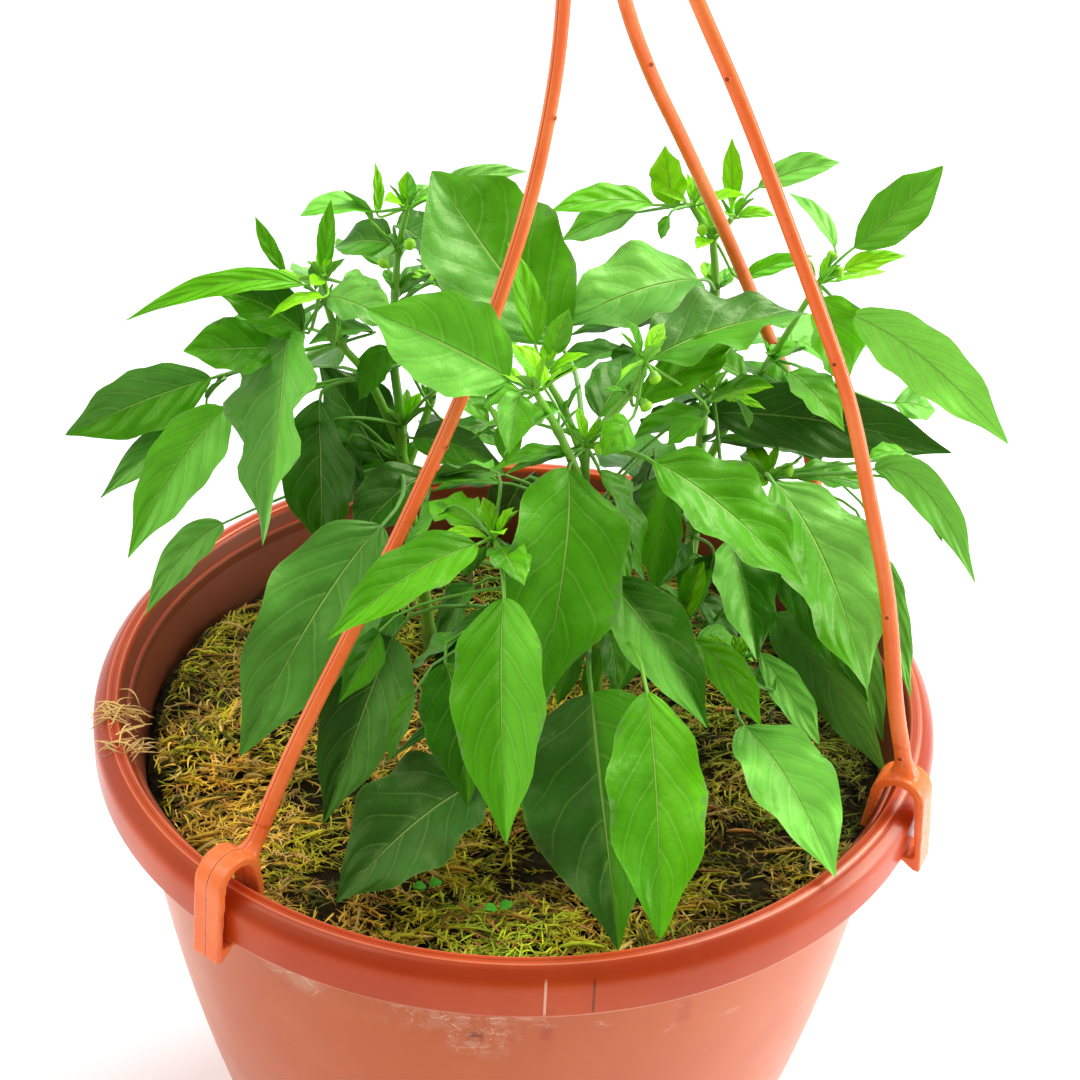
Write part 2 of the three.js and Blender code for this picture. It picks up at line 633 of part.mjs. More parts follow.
// The hub: a disc with a socket for each rod, and a hook that rises from it.
function hub() {
  const [x, y] = HUB_CENTRE;
  const bottom = POT_HEIGHT + HUB_BOTTOM;
  const top = bottom + HUB_THICKNESS;
  const outline = [[0, 0], [HUB_RADIUS - 1, 0], [HUB_RADIUS, 1], [HUB_RADIUS, 7], [HUB_RADIUS - 3, HUB_THICKNESS - 2],
    [6, HUB_THICKNESS], [0, HUB_THICKNESS]];
  const disc = new THREE.LatheGeometry(outline.map(([r, z]) => new THREE.Vector2(r, z)), 24);
  disc.rotateX(Math.PI / 2);
  disc.translate(x, y, bottom);
  let solid = toSolid(disc);
  for (const each of ARMS) {
    const [endX, endY] = rodEnd(each);
    const radius = ROD_RADIUS + FIT_GAP;
    const socket = new THREE.CylinderGeometry(radius, radius, SOCKET_DEPTH * 2, 10);
    socket.rotateX(Math.PI / 2);
    socket.translate(endX, endY, bottom);
    solid = solid.subtract(toSolid(socket));
  }
  const centre = new THREE.Vector3(x, y, top + HOOK_NECK + HOOK_RADIUS);
  const hook = [new THREE.Vector3(x, y, top - 4), new THREE.Vector3(x, y, top + HOOK_NECK - 4)];
  for (let turn = 250; turn >= -30; turn -= 20) {
    const out = new THREE.Vector3(Math.cos(turn * DEG), 0, Math.sin(turn * DEG));
    hook.push(centre.clone().addScaledVector(out, HOOK_RADIUS));
  }
  return solid.add(rod(hook, (share) => (share > 0.97 ? HOOK_ROD_RADIUS - 1 : HOOK_ROD_RADIUS), 8));
}

const plants = new THREE.Group();
plants.add(toMesh(plant(LEFT_PLANT), 'plant_left', foliage));
plants.add(toMesh(plant(FRONT_PLANT), 'plant_front', foliage));
plants.add(toMesh(plant(RIGHT_PLANT), 'plant_right', foliage));

const hanger = new THREE.Group();
for (const each of ARMS) {
  hanger.add(toMesh(arm(each), each.name, hangerPlastic));
}
hanger.add(toMesh(hub(), 'hanger_hub', hangerPlastic));

const roots = [rootOf(LEFT_TRUNK, LEFT_PLANT), rootOf(FRONT_TRUNK, FRONT_PLANT), rootOf(RIGHT_TRUNK, RIGHT_PLANT)];
const part = new THREE.Group();
part.add(toMesh(pot(), 'pot', terracotta), toMesh(soil(roots), 'soil', soilMix), plants, hanger);

export default part;
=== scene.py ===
"""Potted chilli pepper plants in a hanging pot: surfaces, materials, light and camera.

The scene is in metres. The tables and the shapes' own sizes are in millimetres.
"""

import math

import bpy
import numpy as np
from mathutils import Matrix, Vector


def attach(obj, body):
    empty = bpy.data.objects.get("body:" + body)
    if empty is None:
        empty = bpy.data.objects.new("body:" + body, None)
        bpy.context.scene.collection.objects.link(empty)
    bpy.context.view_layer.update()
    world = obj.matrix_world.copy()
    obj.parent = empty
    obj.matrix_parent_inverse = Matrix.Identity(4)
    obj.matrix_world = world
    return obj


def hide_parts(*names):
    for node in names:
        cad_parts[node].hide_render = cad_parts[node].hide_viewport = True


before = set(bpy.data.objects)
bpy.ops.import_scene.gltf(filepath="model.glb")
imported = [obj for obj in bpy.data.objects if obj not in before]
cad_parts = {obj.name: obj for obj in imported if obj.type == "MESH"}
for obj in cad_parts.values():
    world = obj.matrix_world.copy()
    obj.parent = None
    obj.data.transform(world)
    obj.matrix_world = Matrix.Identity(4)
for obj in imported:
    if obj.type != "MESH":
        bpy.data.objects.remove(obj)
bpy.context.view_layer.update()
MM = 0.001


def srgb(red, green, blue):
    """Linear colour of an sRGB colour given from 0 to 255."""
    def linear(value):
        share = value / 255
        return share / 12.92 if share <= 0.04045 else ((share + 0.055) / 1.055) ** 2.4
    return (linear(red), linear(green), linear(blue))


# Tones of the leaves, with painted light in them: the dark bluish, grey and pale tones hold a painted
# sheen, and the sunlit tone is painted sunlight.
DARK = srgb(50, 112, 8)
DEEP_SHEEN = srgb(56, 102, 46)
MID = srgb(80, 150, 22)
BRIGHT = srgb(100, 176, 14)
YOUNG = srgb(152, 222, 18)
LIGHT = srgb(108, 182, 60)
PALE_SHEEN = srgb(122, 182, 108)
GREY_SHEEN = srgb(92, 148, 82)
SOFT = srgb(130, 200, 110)
SUNLIT = srgb(150, 222, 122)
DULL = srgb(70, 118, 64)


def branch(path, thick, leaves, buds=()):
    """A branch: the points of its stem, its radius at the start and the end, its leaves and its
    buds. A leaf row gives the stem point that it grows from, the blade's base and tip, its width,
    the rise of its midrib, its roll in degrees, and the tones of its left and right half as seen
    along the blade from its base with the upper face up. These tones hold painted light and
    shade: a half gets a paler or a darker tone for the light or shade that falls on it."""
    return path, thick, leaves, buds


# The three plants, in millimetres
LEFT_PLANT = [
    branch([(-33, 52, 170), (-33, 52, 193), (-37, 53, 225), (-43, 52, 266), (-43, 50, 283)],
           (2.6, 2), [
        (3, (-47, 58, 257), (-73, 66, 297), 28, 3, -40, DARK, DEEP_SHEEN),
        (3, (-48, 50, 266), (-62, 45, 255), 14, 3, 10, BRIGHT, MID),
        (3, (-101, 18, 261), (-126, 0, 234), 13, 8, -30, PALE_SHEEN, PALE_SHEEN),
        (3, (-45, -9, 281), (-85, -68, 231), 36, 14, -35, GREY_SHEEN, GREY_SHEEN),
        (3, (-34, 34, 273), (-57, 8, 261), 22, 7, -20, DARK, DEEP_SHEEN),
        (4, (-38, 34, 288), (-6, 16, 288), 14, 6, 60, DEEP_SHEEN, MID),
        (3, (-52, 74, 252), (-76, 116, 228), 30, 9, 0, DARK, DARK),
        (3, (-61, 60, 278), (-83, 85, 249), 22, 6, 0, DARK, MID),
        (3, (-34, 66, 268), (-22, 104, 250), 22, 5, 0, DEEP_SHEEN, DARK),
        (4, (-66, 30, 296), (-90, 38, 270), 18, 6, 0, DARK, DEEP_SHEEN),
        (4, (-24, 30, 309), (-12, 22, 302), 12, 3, 0, MID, BRIGHT),
        (3, (-40, 10, 233), (-49, -2, 221), 10, 3, 0, DARK, DARK),
        (3, (-61, 41, 281), (-64, 34, 255), 19, 5, 0, DARK, DARK),
    ]),
    branch([(-43, 52, 272), (-54, 44, 305), (-62, 36, 322), (-66, 28, 342), (-66, 24, 352)],
           (1.6, 1), [
        (1, (-69, 30, 304), (-68, 20, 251), 27, 5, 30, DARK, DARK),
        (2, (-103, 22, 315), (-150, 10, 298), 21, 2, -60, MID, GREY_SHEEN),
        (2, (-97, 10, 311), (-127, -16, 268), 21, 8, -50, SOFT, LIGHT),
        (2, (-104, 22, 299), (-139, 3, 278), 13, 6, -50, PALE_SHEEN, GREY_SHEEN),
        (3, (-77, 14, 338), (-81, -30, 285), 38, 12, 40, SOFT, GREY_SHEEN),
        (3, (-79, 14, 332), (-108, 0, 337), 19, 2, -40, MID, MID),
        (4, (-71, 12, 356), (-124, -10, 352), 8, 13, -45, BRIGHT, BRIGHT),
        (4, (-72, 14, 338), (-99, 12, 352), 17, 5, -50, MID, DARK),
        (4, (-79, 30, 350), (-89, 36, 367), 5, 0, -40, BRIGHT, BRIGHT),
        (4, (-73, 21, 354), (-93, 10, 353), 8, 3, 0, YOUNG, YOUNG),
        (4, (-66, 26, 352), (-64, 30, 377), 6, 0, 20, BRIGHT, BRIGHT),
        (4, (-64, 14, 351), (-40, 6, 345), 17, 5, 20, PALE_SHEEN, GREY_SHEEN),
        (3, (-69, 36, 343), (-78, 62, 336), 14, 3, 0, PALE_SHEEN, YOUNG),
        (2, (-74, 44, 323), (-112, 70, 300), 26, 9, 0, MID, MID),
        (1, (-65, 54, 303), (-100, 86, 268), 28, 10, 0, MID, MID),
        (4, (-60, 22, 352), (-44, 38, 332), 15, 5, 20, PALE_SHEEN, PALE_SHEEN),
        (2, (-52, 42, 324), (-73, 36, 321), 11, 4, 0, MID, DARK),
        (2, (-63, 30, 335), (-64, 31, 323), 6, 2, 0, BRIGHT, YOUNG),
        (1, (-68, 44, 301), (-78, 46, 294), 6, 2, 0, MID, BRIGHT),
        (4, (-65, 12, 352), (-81, 2, 349), 7, 3, 0, YOUNG, YOUNG),
        (1, (-104, 14, 312), (-96, 10, 322), 7, 2, 0, BRIGHT, MID),
        (4, (-65, 34, 353), (-71, 42, 338), 9, 3, 20, MID, BRIGHT),
        (1, (-44, 50, 307), (-59, 57, 287), 13, 4, -20, GREY_SHEEN, MID),
        (2, (-87, 20, 319), (-104, 32, 307), 12, 4, 0, DARK, MID),
    ]),
    branch([(-43, 50, 283), (-47, 56, 312), (-46, 58, 330), (-45, 58, 346), (-42, 56, 362)],
           (1.7, 1), [
        (1, (-47, 44, 317), (-56, 35, 301), 11, 4, -25, MID, MID),
        (3, (-48, 64, 345), (-68, 75, 337), 17, 4, -30, MID, DARK),
        (3, (-46, 62, 353), (-32, 68, 337), 19, 4, 30, DARK, DEEP_SHEEN),
        (4, (-53, 54, 362), (-76, 45, 363), 12, 5, -10, LIGHT, SOFT),
        (4, (-52, 60, 358), (-53, 62, 376), 5, 0, 20, YOUNG, YOUNG),
        (4, (-42, 57, 365), (-42, 60, 374), 6, 1, 0, YOUNG, SOFT),
        (4, (-40, 58, 364), (-34, 66, 366), 9, 1, 0, PALE_SHEEN, BRIGHT),
        (4, (-33, 66, 366), (-3, 80, 366), 7, 4, 40, PALE_SHEEN, PALE_SHEEN),
        (2, (-49, 71, 332), (-60, 110, 318), 26, 8, 0, MID, MID),
        (3, (-53, 54, 358), (-63, 50, 371), 6, 3, 30, YOUNG, YOUNG),
        (2, (-45, 62, 327), (-35, 79, 330), 10, 3, 0, GREY_SHEEN, GREY_SHEEN),
        (1, (-38, 60, 313), (-46, 75, 318), 9, 3, 0, MID, MID),
        (1, (-52, 66, 323), (-63, 80, 306), 12, 3, 0, MID, DARK),
        (1, (-26, 46, 287), (-8, 40, 282), 13, 3, 0, DARK, MID),
        (1, (-44, 50, 330), (-31, 44, 342), 8, 3, 0, MID, PALE_SHEEN),
    ], [(3, (-40, 50, 352)), (3, (-50, 49, 344))]),
    branch([(-42, 52, 262), (-34, 64, 285), (-32, 70, 300), (-30, 72, 325)], (1.6, 1.1), [
        (2, (-30, 75, 305), (-24, 90, 316), 10, 2, 0, MID, MID),
        (3, (-32, 69, 330), (-37, 60, 341), 12, 1, 0, MID, MID),
        (3, (-25, 82, 328), (-8, 112, 322), 22, 6, 0, MID, MID),
        (1, (-31, 79, 288), (-26, 122, 270), 30, 10, 0, MID, MID),
        (2, (-23, 78, 301), (6, 104, 286), 24, 7, 0, SOFT, SOFT),
        (3, (-32, 70, 327), (-36, 89, 331), 10, 3, 0, DARK, MID),
    ]),
]
FRONT_PLANT = [
    branch([(28, 14, 170), (28, 14, 193), (27, 5, 220), (24, -14, 250), (20, -14, 290), (19, -15, 318)],
           (2.8, 1.5), [
        (3, (24, -60, 256), (35, -122, 206), 50, 10, 26, MID, DEEP_SHEEN),
        (3, (40, -80, 273), (46, -137, 226), 29, 8, 8, BRIGHT, MID),
        (3, (-40, -30, 252), (-60, -64, 200), 29, 10, -15, GREY_SHEEN, DEEP_SHEEN),
        (3, (-22, -48, 256), (-13, -76, 221), 24, 8, 10, MID, DARK),
        (3, (-9, -65, 223), (-53, -93, 194), 38, 8, -12, DULL, DEEP_SHEEN),
        (3, (56, -34, 259), (78, -58, 244), 13, 5, 30, BRIGHT, BRIGHT),
        (4, (28, -34, 280), (60, -73, 254), 23, 9, 20, DARK, SOFT),
        (4, (17, -20, 287), (6, -38, 262), 24, 6, 0, MID, MID),
        (5, (14, -24, 315), (8, -66, 255), 38, 16, -20, MID, MID),
        (5, (40, -22, 318), (88, -45, 289), 30, 9, 15, MID, MID),
        (5, (24, -16, 310), (40, -20, 268), 20, 6, 0, MID, MID),
        (5, (10, 20, 334), (-34, 54, 377), 46, 3, -26, GREY_SHEEN, MID),
        (5, (12, -20, 319), (-10, -34, 319), 9, 2, 0, BRIGHT, BRIGHT),
        (5, (23, -4, 322), (36, 31, 327), 18, 3, 0, DARK, MID),
        (2, (11, -8, 223), (-40, -48, 215), 10, 6, 0, DARK, DARK),
        (4, (0, 10, 289), (-8, 25, 257), 18, 5, 0, DEEP_SHEEN, DEEP_SHEEN),
        (4, (42, 12, 299), (39, 14, 269), 15, 5, 0, DEEP_SHEEN, DEEP_SHEEN),
        (4, (47, 2, 293), (44, -14, 262), 13, 5, 0, MID, BRIGHT),
        (3, (-15, -12, 261), (-26, -19, 238), 13, 5, 0, MID, DARK),
        (3, (-19, -34, 255), (-37, -31, 234), 14, 5, 0, GREY_SHEEN, MID),
        (2, (28, -10, 236), (23, -20, 220), 7, 3, 0, BRIGHT, MID),
        (2, (42, -8, 231), (30, -20, 220), 8, 3, 0, MID, BRIGHT),
        (3, (12, 10, 273), (27, 24, 248), 16, 5, 0, DARK, MID),
        (3, (34, 0, 249), (41, 3, 222), 14, 5, 0, DARK, DEEP_SHEEN),
        (3, (8, -16, 243), (-5, -18, 223), 12, 4, 0, DARK, MID),
        (3, (-6, -8, 302), (-31, -14, 300), 10, 3, 0, MID, DARK),
        (3, (19, -20, 246), (14, -34, 231), 9, 5, 0, MID, DARK),
        (4, (-8, -5, 297), (-29, -11, 296), 10, 2, 0, MID, MID),
        (5, (15, -20, 319), (-6, -26, 313), 8, 2, 0, BRIGHT, MID),
        (5, (42, -20, 311), (39, -26, 299), 9, 2, 0, MID, DARK),
        (4, (28, -40, 266), (33, -46, 246), 12, 4, 0, MID, DARK),
        (4, (20, -40, 261), (14, -46, 239), 12, 4, 0, DARK, MID),
        (3, (-31, -58, 252), (-39, -64, 227), 9, 3, 0, GREY_SHEEN, MID),
    ], [(5, (24, -22, 321))]),
    branch([(24, -14, 250), (10, -28, 275), (-8, -42, 300)], (1.5, 1), [
        (1, (-43, -44, 264), (-54, -66, 252), 12, 4, -55, MID, DARK),
        (1, (0, -31, 270), (-30, -40, 239), 14, 6, 0, DARK, DARK),
        (2, (-13, -50, 303), (-55, -86, 291), 18, 8, -25, BRIGHT, MID),
        (2, (-12, -38, 301), (-29, -25, 301), 16, 1, 0, BRIGHT, BRIGHT),
        (2, (-6, -48, 301), (2, -65, 299), 13, 2, 0, BRIGHT, MID),
        (2, (-4, -66, 295), (0, -110, 236), 29, 12, 20, LIGHT, MID),
        (2, (-10, -45, 299), (-17, -55, 294), 5, 1, 0, DARK, MID),
        (2, (-10, -20, 311), (-30, -7, 297), 14, 4, 20, MID, BRIGHT),
        (2, (-23, -30, 303), (-38, -31, 282), 13, 5, 0, LIGHT, MID),
        (1, (-29, -10, 269), (-43, -30, 266), 12, 5, 0, DARK, DEEP_SHEEN),
    ]),
    branch([(20, -14, 300), (10, -26, 330), (3, -38, 350)], (1.5, 1.1), [
        (2, (-5, -36, 353), (-48, -28, 370), 31, 1, -40, SOFT, LIGHT),
        (2, (-2, -44, 353), (-4, -54, 338), 12, 4, -30, LIGHT, SOFT),
        (2, (-1, -40, 351), (-12, -45, 348), 12, 2, 0, MID, LIGHT),
        (2, (6, -39, 353), (14, -42, 362), 8, 1, 0, BRIGHT, BRIGHT),
        (2, (-11, -40, 346), (-5, -38, 329), 9, 3, 0, BRIGHT, YOUNG),
        (1, (9, -30, 339), (-6, -44, 331), 10, 3, 20, SOFT, LIGHT),
        (1, (-3, -20, 329), (-17, -13, 317), 10, 3, 0, MID, BRIGHT),
        (2, (-4, -30, 335), (-5, -36, 323), 9, 3, 0, BRIGHT, MID),
    ]),
    branch([(19, -15, 312), (12, -11, 328), (5, -10, 340)], (1.4, 1), [
        (2, (2, -5, 348), (-8, 12, 374), 10, 1, 0, BRIGHT, BRIGHT),
        (2, (7, -7, 345), (12, 4, 356), 9, 1, 0, BRIGHT, MID),
        (0, (6, -22, 342), (-7, -14, 353), 9, 2, 0, BRIGHT, YOUNG),
    ]),
    branch([(19, -15, 318), (32, -5, 332), (36, -3, 342)], (1.6, 1.1), [
        (1, (38, 4, 339), (89, 26, 346), 31, 6, 5, DULL, MID),
        (1, (34, -4, 327), (66, 16, 342), 14, 4, 45, BRIGHT, BRIGHT),
        (2, (32, -16, 328), (24, -26, 321), 12, 3, -50, LIGHT, BRIGHT),
        (2, (35, -3, 345), (30, -2, 356), 7, 1, 0, MID, MID),
        (2, (56, 0, 321), (45, -6, 314), 11, 2, 0, BRIGHT, LIGHT),
    ], [(2, (40, -9, 338)), (1, (38, -12, 330))]),
]
RIGHT_PLANT = [
    branch([(60, 52, 170), (60, 52, 193), (60, 52, 241), (61, 62, 293), (62, 73, 328), (60, 76, 346)],
           (2.7, 1.3), [
        (2, (60, 42, 241), (58, 10, 233), 12, 3, 0, MID, MID),
        (2, (57, 43, 244), (46, 15, 243), 12, 3, 0, DARK, DARK),
        (3, (45, 48, 329), (12, 42, 325), 12, 3, 0, DARK, MID),
        (3, (32, 60, 311), (7, 56, 302), 15, 4, 0, MID, DARK),
        (4, (55, 58, 340), (7, 32, 333), 31, 8, -20, GREY_SHEEN, PALE_SHEEN),
        (5, (72, 76, 332), (96, 85, 337), 7, 3, 35, BRIGHT, LIGHT),
        (3, (63, 80, 296), (70, 138, 276), 30, 10, 0, GREY_SHEEN, GREY_SHEEN),
        (2, (53, 68, 247), (30, 118, 236), 28, 10, 0, DARK, MID),
        (3, (54, 84, 308), (34, 122, 288), 24, 7, 0, MID, MID),
        (3, (72, 82, 302), (98, 114, 284), 24, 7, 0, PALE_SHEEN, MID),
        (2, (66, 30, 249), (63, 36, 224), 13, 4, 0, DARK, DEEP_SHEEN),
        (4, (61, 72, 331), (58, 83, 334), 6, 1, 0, YOUNG, BRIGHT),
        (3, (37, 44, 319), (28, 38, 315), 12, 3, 0, MID, MID),
    ]),
    branch([(60, 76, 346), (52, 76, 358)], (1.4, 1), [
        (1, (46, 79, 356), (42, 84, 376), 13, 0, -60, YOUNG, YOUNG),
        (1, (39, 72, 360), (4, 60, 361), 13, 4, -20, BRIGHT, BRIGHT),
        (1, (34, 78, 354), (9, 84, 339), 13, 3, -45, PALE_SHEEN, LIGHT),
        (1, (44, 68, 358), (42, 66, 350), 5, 1, -5, SOFT, LIGHT),
    ], [(0, (55, 70, 352))]),
    branch([(60, 76, 346), (66, 78, 353)], (1.3, 1), [
        (1, (66, 82, 357), (64, 84, 380), 7, 0, -35, YOUNG, YOUNG),
        (1, (74, 82, 363), (101, 85, 372), 12, 3, 30, SOFT, SOFT),
    ]),
    branch([(60, 55, 262), (71, 47, 298), (80, 42, 320), (93, 45, 347)], (1.6, 1), [
        (1, (81, 46, 300), (112, 41, 295), 22, 3, 0, SUNLIT, SOFT),
        (1, (123, 12, 262), (133, -12, 222), 9, 5, 10, SOFT, SOFT),
        (2, (91, 42, 325), (77, 36, 318), 13, 4, 20, SOFT, BRIGHT),
        (2, (125, 56, 297), (141, 62, 291), 13, 1, 45, SOFT, SOFT),
        (2, (85, 30, 322), (103, 12, 311), 17, 3, 0, LIGHT, LIGHT),
        (3, (104, 36, 341), (156, 10, 310), 20, 11, 62, SUNLIT, SUNLIT),
        (3, (94, 36, 347), (104, 30, 316), 20, 6, 30, BRIGHT, BRIGHT),
        (3, (104, 50, 358), (131, 60, 384), 17, -4, 50, LIGHT, LIGHT),
        (3, (98, 50, 358), (83, 75, 365), 7, 5, 0, SOFT, SOFT),
        (3, (101, 46, 352), (122, 50, 356), 7, 2, 35, YOUNG, YOUNG),
        (3, (99, 48, 347), (117, 56, 347), 6, 1, 0, YOUNG, YOUNG),
        (2, (88, 56, 318), (116, 90, 298), 24, 8, 0, PALE_SHEEN, PALE_SHEEN),
        (1, (87, 34, 311), (71, 57, 310), 14, 4, 0, DARK, MID),
        (1, (76, 30, 303), (59, 45, 283), 15, 4, 0, DARK, DEEP_SHEEN),
        (1, (89, 46, 325), (99, 40, 319), 12, 3, 0, SOFT, LIGHT),
    ], [(3, (98, 50, 356)), (3, (101, 44, 352))]),
    branch([(60, 52, 245), (71, 32, 270), (80, 15, 290)], (1.6, 1), [
        (1, (85, 0, 246), (124, -40, 210), 20, 9, 55, PALE_SHEEN, GREY_SHEEN),
        (1, (84, 2, 267), (116, -28, 232), 17, 9, 40, DARK, DARK),
        (2, (80, -4, 301), (111, -50, 254), 35, 12, 0, PALE_SHEEN, MID),
        (2, (112, 6, 280), (117, 5, 263), 8, 2, 50, BRIGHT, BRIGHT),
        (2, (113, 6, 301), (149, -8, 267), 13, 27, 60, SOFT, SOFT),
        (2, (129, 4, 293), (138, 2, 276), 5, 3, 40, MID, MID),
        (2, (88, 15, 291), (115, 16, 288), 15, 3, 0, MID, MID),
        (2, (82, 20, 286), (74, 38, 286), 10, 3, 0, BRIGHT, MID),
        (2, (99, 30, 289), (89, 50, 279), 12, 3, 0, MID, DARK),
        (1, (67, 40, 265), (53, 59, 243), 16, 5, 0, DARK, MID),
        (1, (92, 34, 289), (59, 20, 300), 12, 4, 0, DARK, MID),
        (1, (111, 8, 249), (126, -12, 203), 11, 6, 20, PALE_SHEEN, SOFT),
        (2, (124, 14, 303), (111, 10, 302), 9, 2, 0, SOFT, LIGHT),
    ], [(2, (88, 12, 295)), (2, (84, 8, 288))]),
    branch([(61, 62, 293), (61, 38, 308), (60, 20, 318)], (1.6, 1.1), [
        (2, (68, -4, 278), (77, -37, 254), 21, 6, -5, DARK, SOFT),
        (2, (59, 30, 305), (140, 18, 301), 24, 8, 48, DEEP_SHEEN, DEEP_SHEEN),
        (2, (71, 30, 318), (59, 49, 319), 11, 3, 0, MID, MID),
        (2, (59, 14, 319), (78, 6, 330), 10, 4, 20, BRIGHT, YOUNG),
        (2, (67, 10, 323), (72, 13, 310), 7, 2, 0, PALE_SHEEN, SOFT),
        (2, (56, 16, 316), (46, 19, 304), 8, 3, 0, BRIGHT, MID),
        (2, (57, 20, 317), (38, 34, 296), 16, 4, 0, DARK, DARK),
        (2, (57, 14, 315), (34, 4, 309), 14, 4, 0, MID, BRIGHT),
        (1, (29, 6, 279), (36, 0, 254), 10, 4, 0, MID, BRIGHT),
    ], [(2, (66, 12, 322))]),
    branch([(60, 52, 226), (66, 16, 228), (73, -15, 235)], (1.7, 1.1), [
        (2, (74, -48, 236), (101, -98, 218), 28, 8, 5, SOFT, SOFT),
        (2, (80, -18, 243), (100, -40, 223), 12, 4, 25, SOFT, PALE_SHEEN),
        (2, (76, -19, 236), (85, -30, 237), 12, 1, 0, MID, GREY_SHEEN),
        (2, (70, -17, 239), (59, -25, 246), 12, 2, 0, MID, MID),
        (1, (57, 14, 231), (62, 18, 254), 9, 4, 20, BRIGHT, YOUNG),
        (1, (59, 20, 231), (44, 14, 246), 11, 3, 0, MID, BRIGHT),
        (2, (60, -6, 238), (81, 4, 223), 14, 4, 10, MID, BRIGHT),
        (2, (80, -18, 242), (87, -21, 223), 10, 3, 0, MID, DARK),
        (1, (92, 30, 256), (105, 36, 228), 16, 5, 0, DARK, DEEP_SHEEN),
        (1, (62, 24, 234), (77, 14, 220), 12, 4, 0, DEEP_SHEEN, DARK),
    ]),
]


# Meshes

rng = np.random.default_rng(7)
BARE = (0, 0, 0)


def placed(name, data):
    """A new object in the scene."""
    made = bpy.data.objects.new(name, data)
    bpy.context.scene.collection.objects.link(made)
    return made


def finished(name, mesh, material, node):
    """Puts a mesh in the scene as a piece that stands for a CAD node."""
    mesh.materials.clear()
    mesh.materials.append(material)
    piece = placed(name, mesh)
    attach(piece, "root")
    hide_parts(node)
    return piece


def bare_mesh(name, points, faces):
    """A mesh from points in millimetres."""
    mesh = bpy.data.meshes.new(name)
    mesh.from_pydata((np.asarray(points) * MM).tolist(), [], faces)
    return mesh


def applied(body):
    """The mesh of an object with its modifiers applied. The object is removed."""
    graph = bpy.context.evaluated_depsgraph_get()
    done = bpy.data.meshes.new_from_object(body.evaluated_get(graph))
    bpy.data.objects.remove(body)
    return done


def points_and_faces(mesh):
    """The points of a mesh as an array, and its faces as tuples of point numbers."""
    points = np.empty(len(mesh.vertices) * 3)
    mesh.vertices.foreach_get("co", points)
    return points.reshape(-1, 3), [tuple(face.vertices) for face in mesh.polygons]


class Shell:
    """Collects the points, faces, tones and texture places of one mesh, in millimetres."""

    def __init__(self):
        self.points, self.faces, self.tones, self.places, self.marks = [], [], [], [], []
        self.count = 0

    def add(self, points, faces, tones=BARE, places=(0, 0), marks=BARE):
        points = np.asarray(points, float)
        number = len(points)
        self.points.append(points)
        self.faces.extend(tuple(self.count + corner for corner in face) for face in faces)
        for rows, values, width in (
                (self.tones, tones, 3), (self.places, places, 2), (self.marks, marks, 3)):
            rows.append(np.broadcast_to(np.asarray(values, float), (number, width)))
        self.count += number

    def build(self, name, material, node, slot):
        mesh = bare_mesh(name, np.concatenate(self.points), self.faces)
        for label, rows in (("tone", self.tones), ("marks", self.marks)):
            colours = np.concatenate([np.concatenate(rows), np.ones((self.count, 1))], axis=1)
            layer = mesh.color_attributes.new(label, "FLOAT_COLOR", "POINT")
            layer.data.foreach_set("color", colours.astype(np.float32).ravel())
        corners = np.empty(len(mesh.loops), dtype=np.int32)
        mesh.loops.foreach_get("vertex_index", corners)
        places = np.concatenate(self.places)[corners]
        mesh.uv_layers.new(name="place").data.foreach_set("uv", places.astype(np.float32).ravel())
        mesh.shade_smooth()
        return finished(name, mesh, material, node)


def grid_faces(rows, columns, closed=False, flip=False):
    """Quads of a grid of points; a closed grid joins its last column to its first."""
    faces = []
    for i in range(rows - 1):
        for j in range(columns if closed else columns - 1):
            k = (j + 1) % columns
            face = (i * columns + j, i * columns + k, (i + 1) * columns + k, (i + 1) * columns + j)
            faces.append(face[::-1] if flip else face)
    return faces


def smooth_line(points, steps):
    """Points on a Catmull-Rom line through the given ones, with the given steps between them."""
    points = np.asarray(points, float)
    ends = [2 * points[0] - points[1], *points, 2 * points[-1] - points[-2]]
    line = []
    for before, start, stop, after in zip(ends, ends[1:], ends[2:], ends[3:]):
        for t in np.arange(steps) / steps:
            line.append(start + 0.5 * ((stop - before) * t
                        + (2 * before - 5 * start + 4 * stop - after) * t * t
                        + (3 * start - before - 3 * stop + after) * t ** 3))
    line.append(points[-1])
    return np.array(line)


def bent(t, start, middle, stop):
    """A point at a share of a line that bends from start to stop towards the middle."""
    return (1 - t) ** 2 * start + 2 * t * (1 - t) * middle + t * t * stop


def unit(vector):
    return vector / max(np.linalg.norm(vector), 1e-9)


def heading(turn, rise=0.0):
    """A level direction with a rise added."""
    return np.array([math.cos(turn), math.sin(turn), rise])


def add_tube(shell, line, radii, sides, tones=BARE, marks=BARE, across=(1, 0.3, 0.1), squash=1):
    """A round closed tube along a line of points. Its places run along and around it."""
    line = np.asarray(line, float)
    number = len(line)
    radii = np.broadcast_to(np.asarray(radii, float), (number,))
    tones = np.broadcast_to(np.asarray(tones, float), (number, 3))
    turns = np.arange(sides) / sides * 2 * math.pi
    across = np.asarray(across, float)
    rings = []
    for i in range(number):
        along = unit(line[min(i + 1, number - 1)] - line[max(i - 1, 0)])
        across = unit(across - along * across.dot(along))
        other = np.cross(along, across)
        rings.append(line[i] + radii[i] * (np.cos(turns)[:, None] * across * squash
                                           + np.sin(turns)[:, None] * other))
    faces = grid_faces(number, sides, closed=True)
    faces += [tuple(range(sides))[::-1], tuple((number - 1) * sides + j for j in range(sides))]
    lengths = np.concatenate([[0], np.cumsum(np.linalg.norm(np.diff(line, axis=0), axis=1))])
    places = np.stack([np.repeat(lengths, sides), np.tile(turns / (2 * math.pi), number)], axis=1)
    shell.add(np.concatenate(rings), faces, np.repeat(tones, sides, axis=0), places, marks)


# Materials

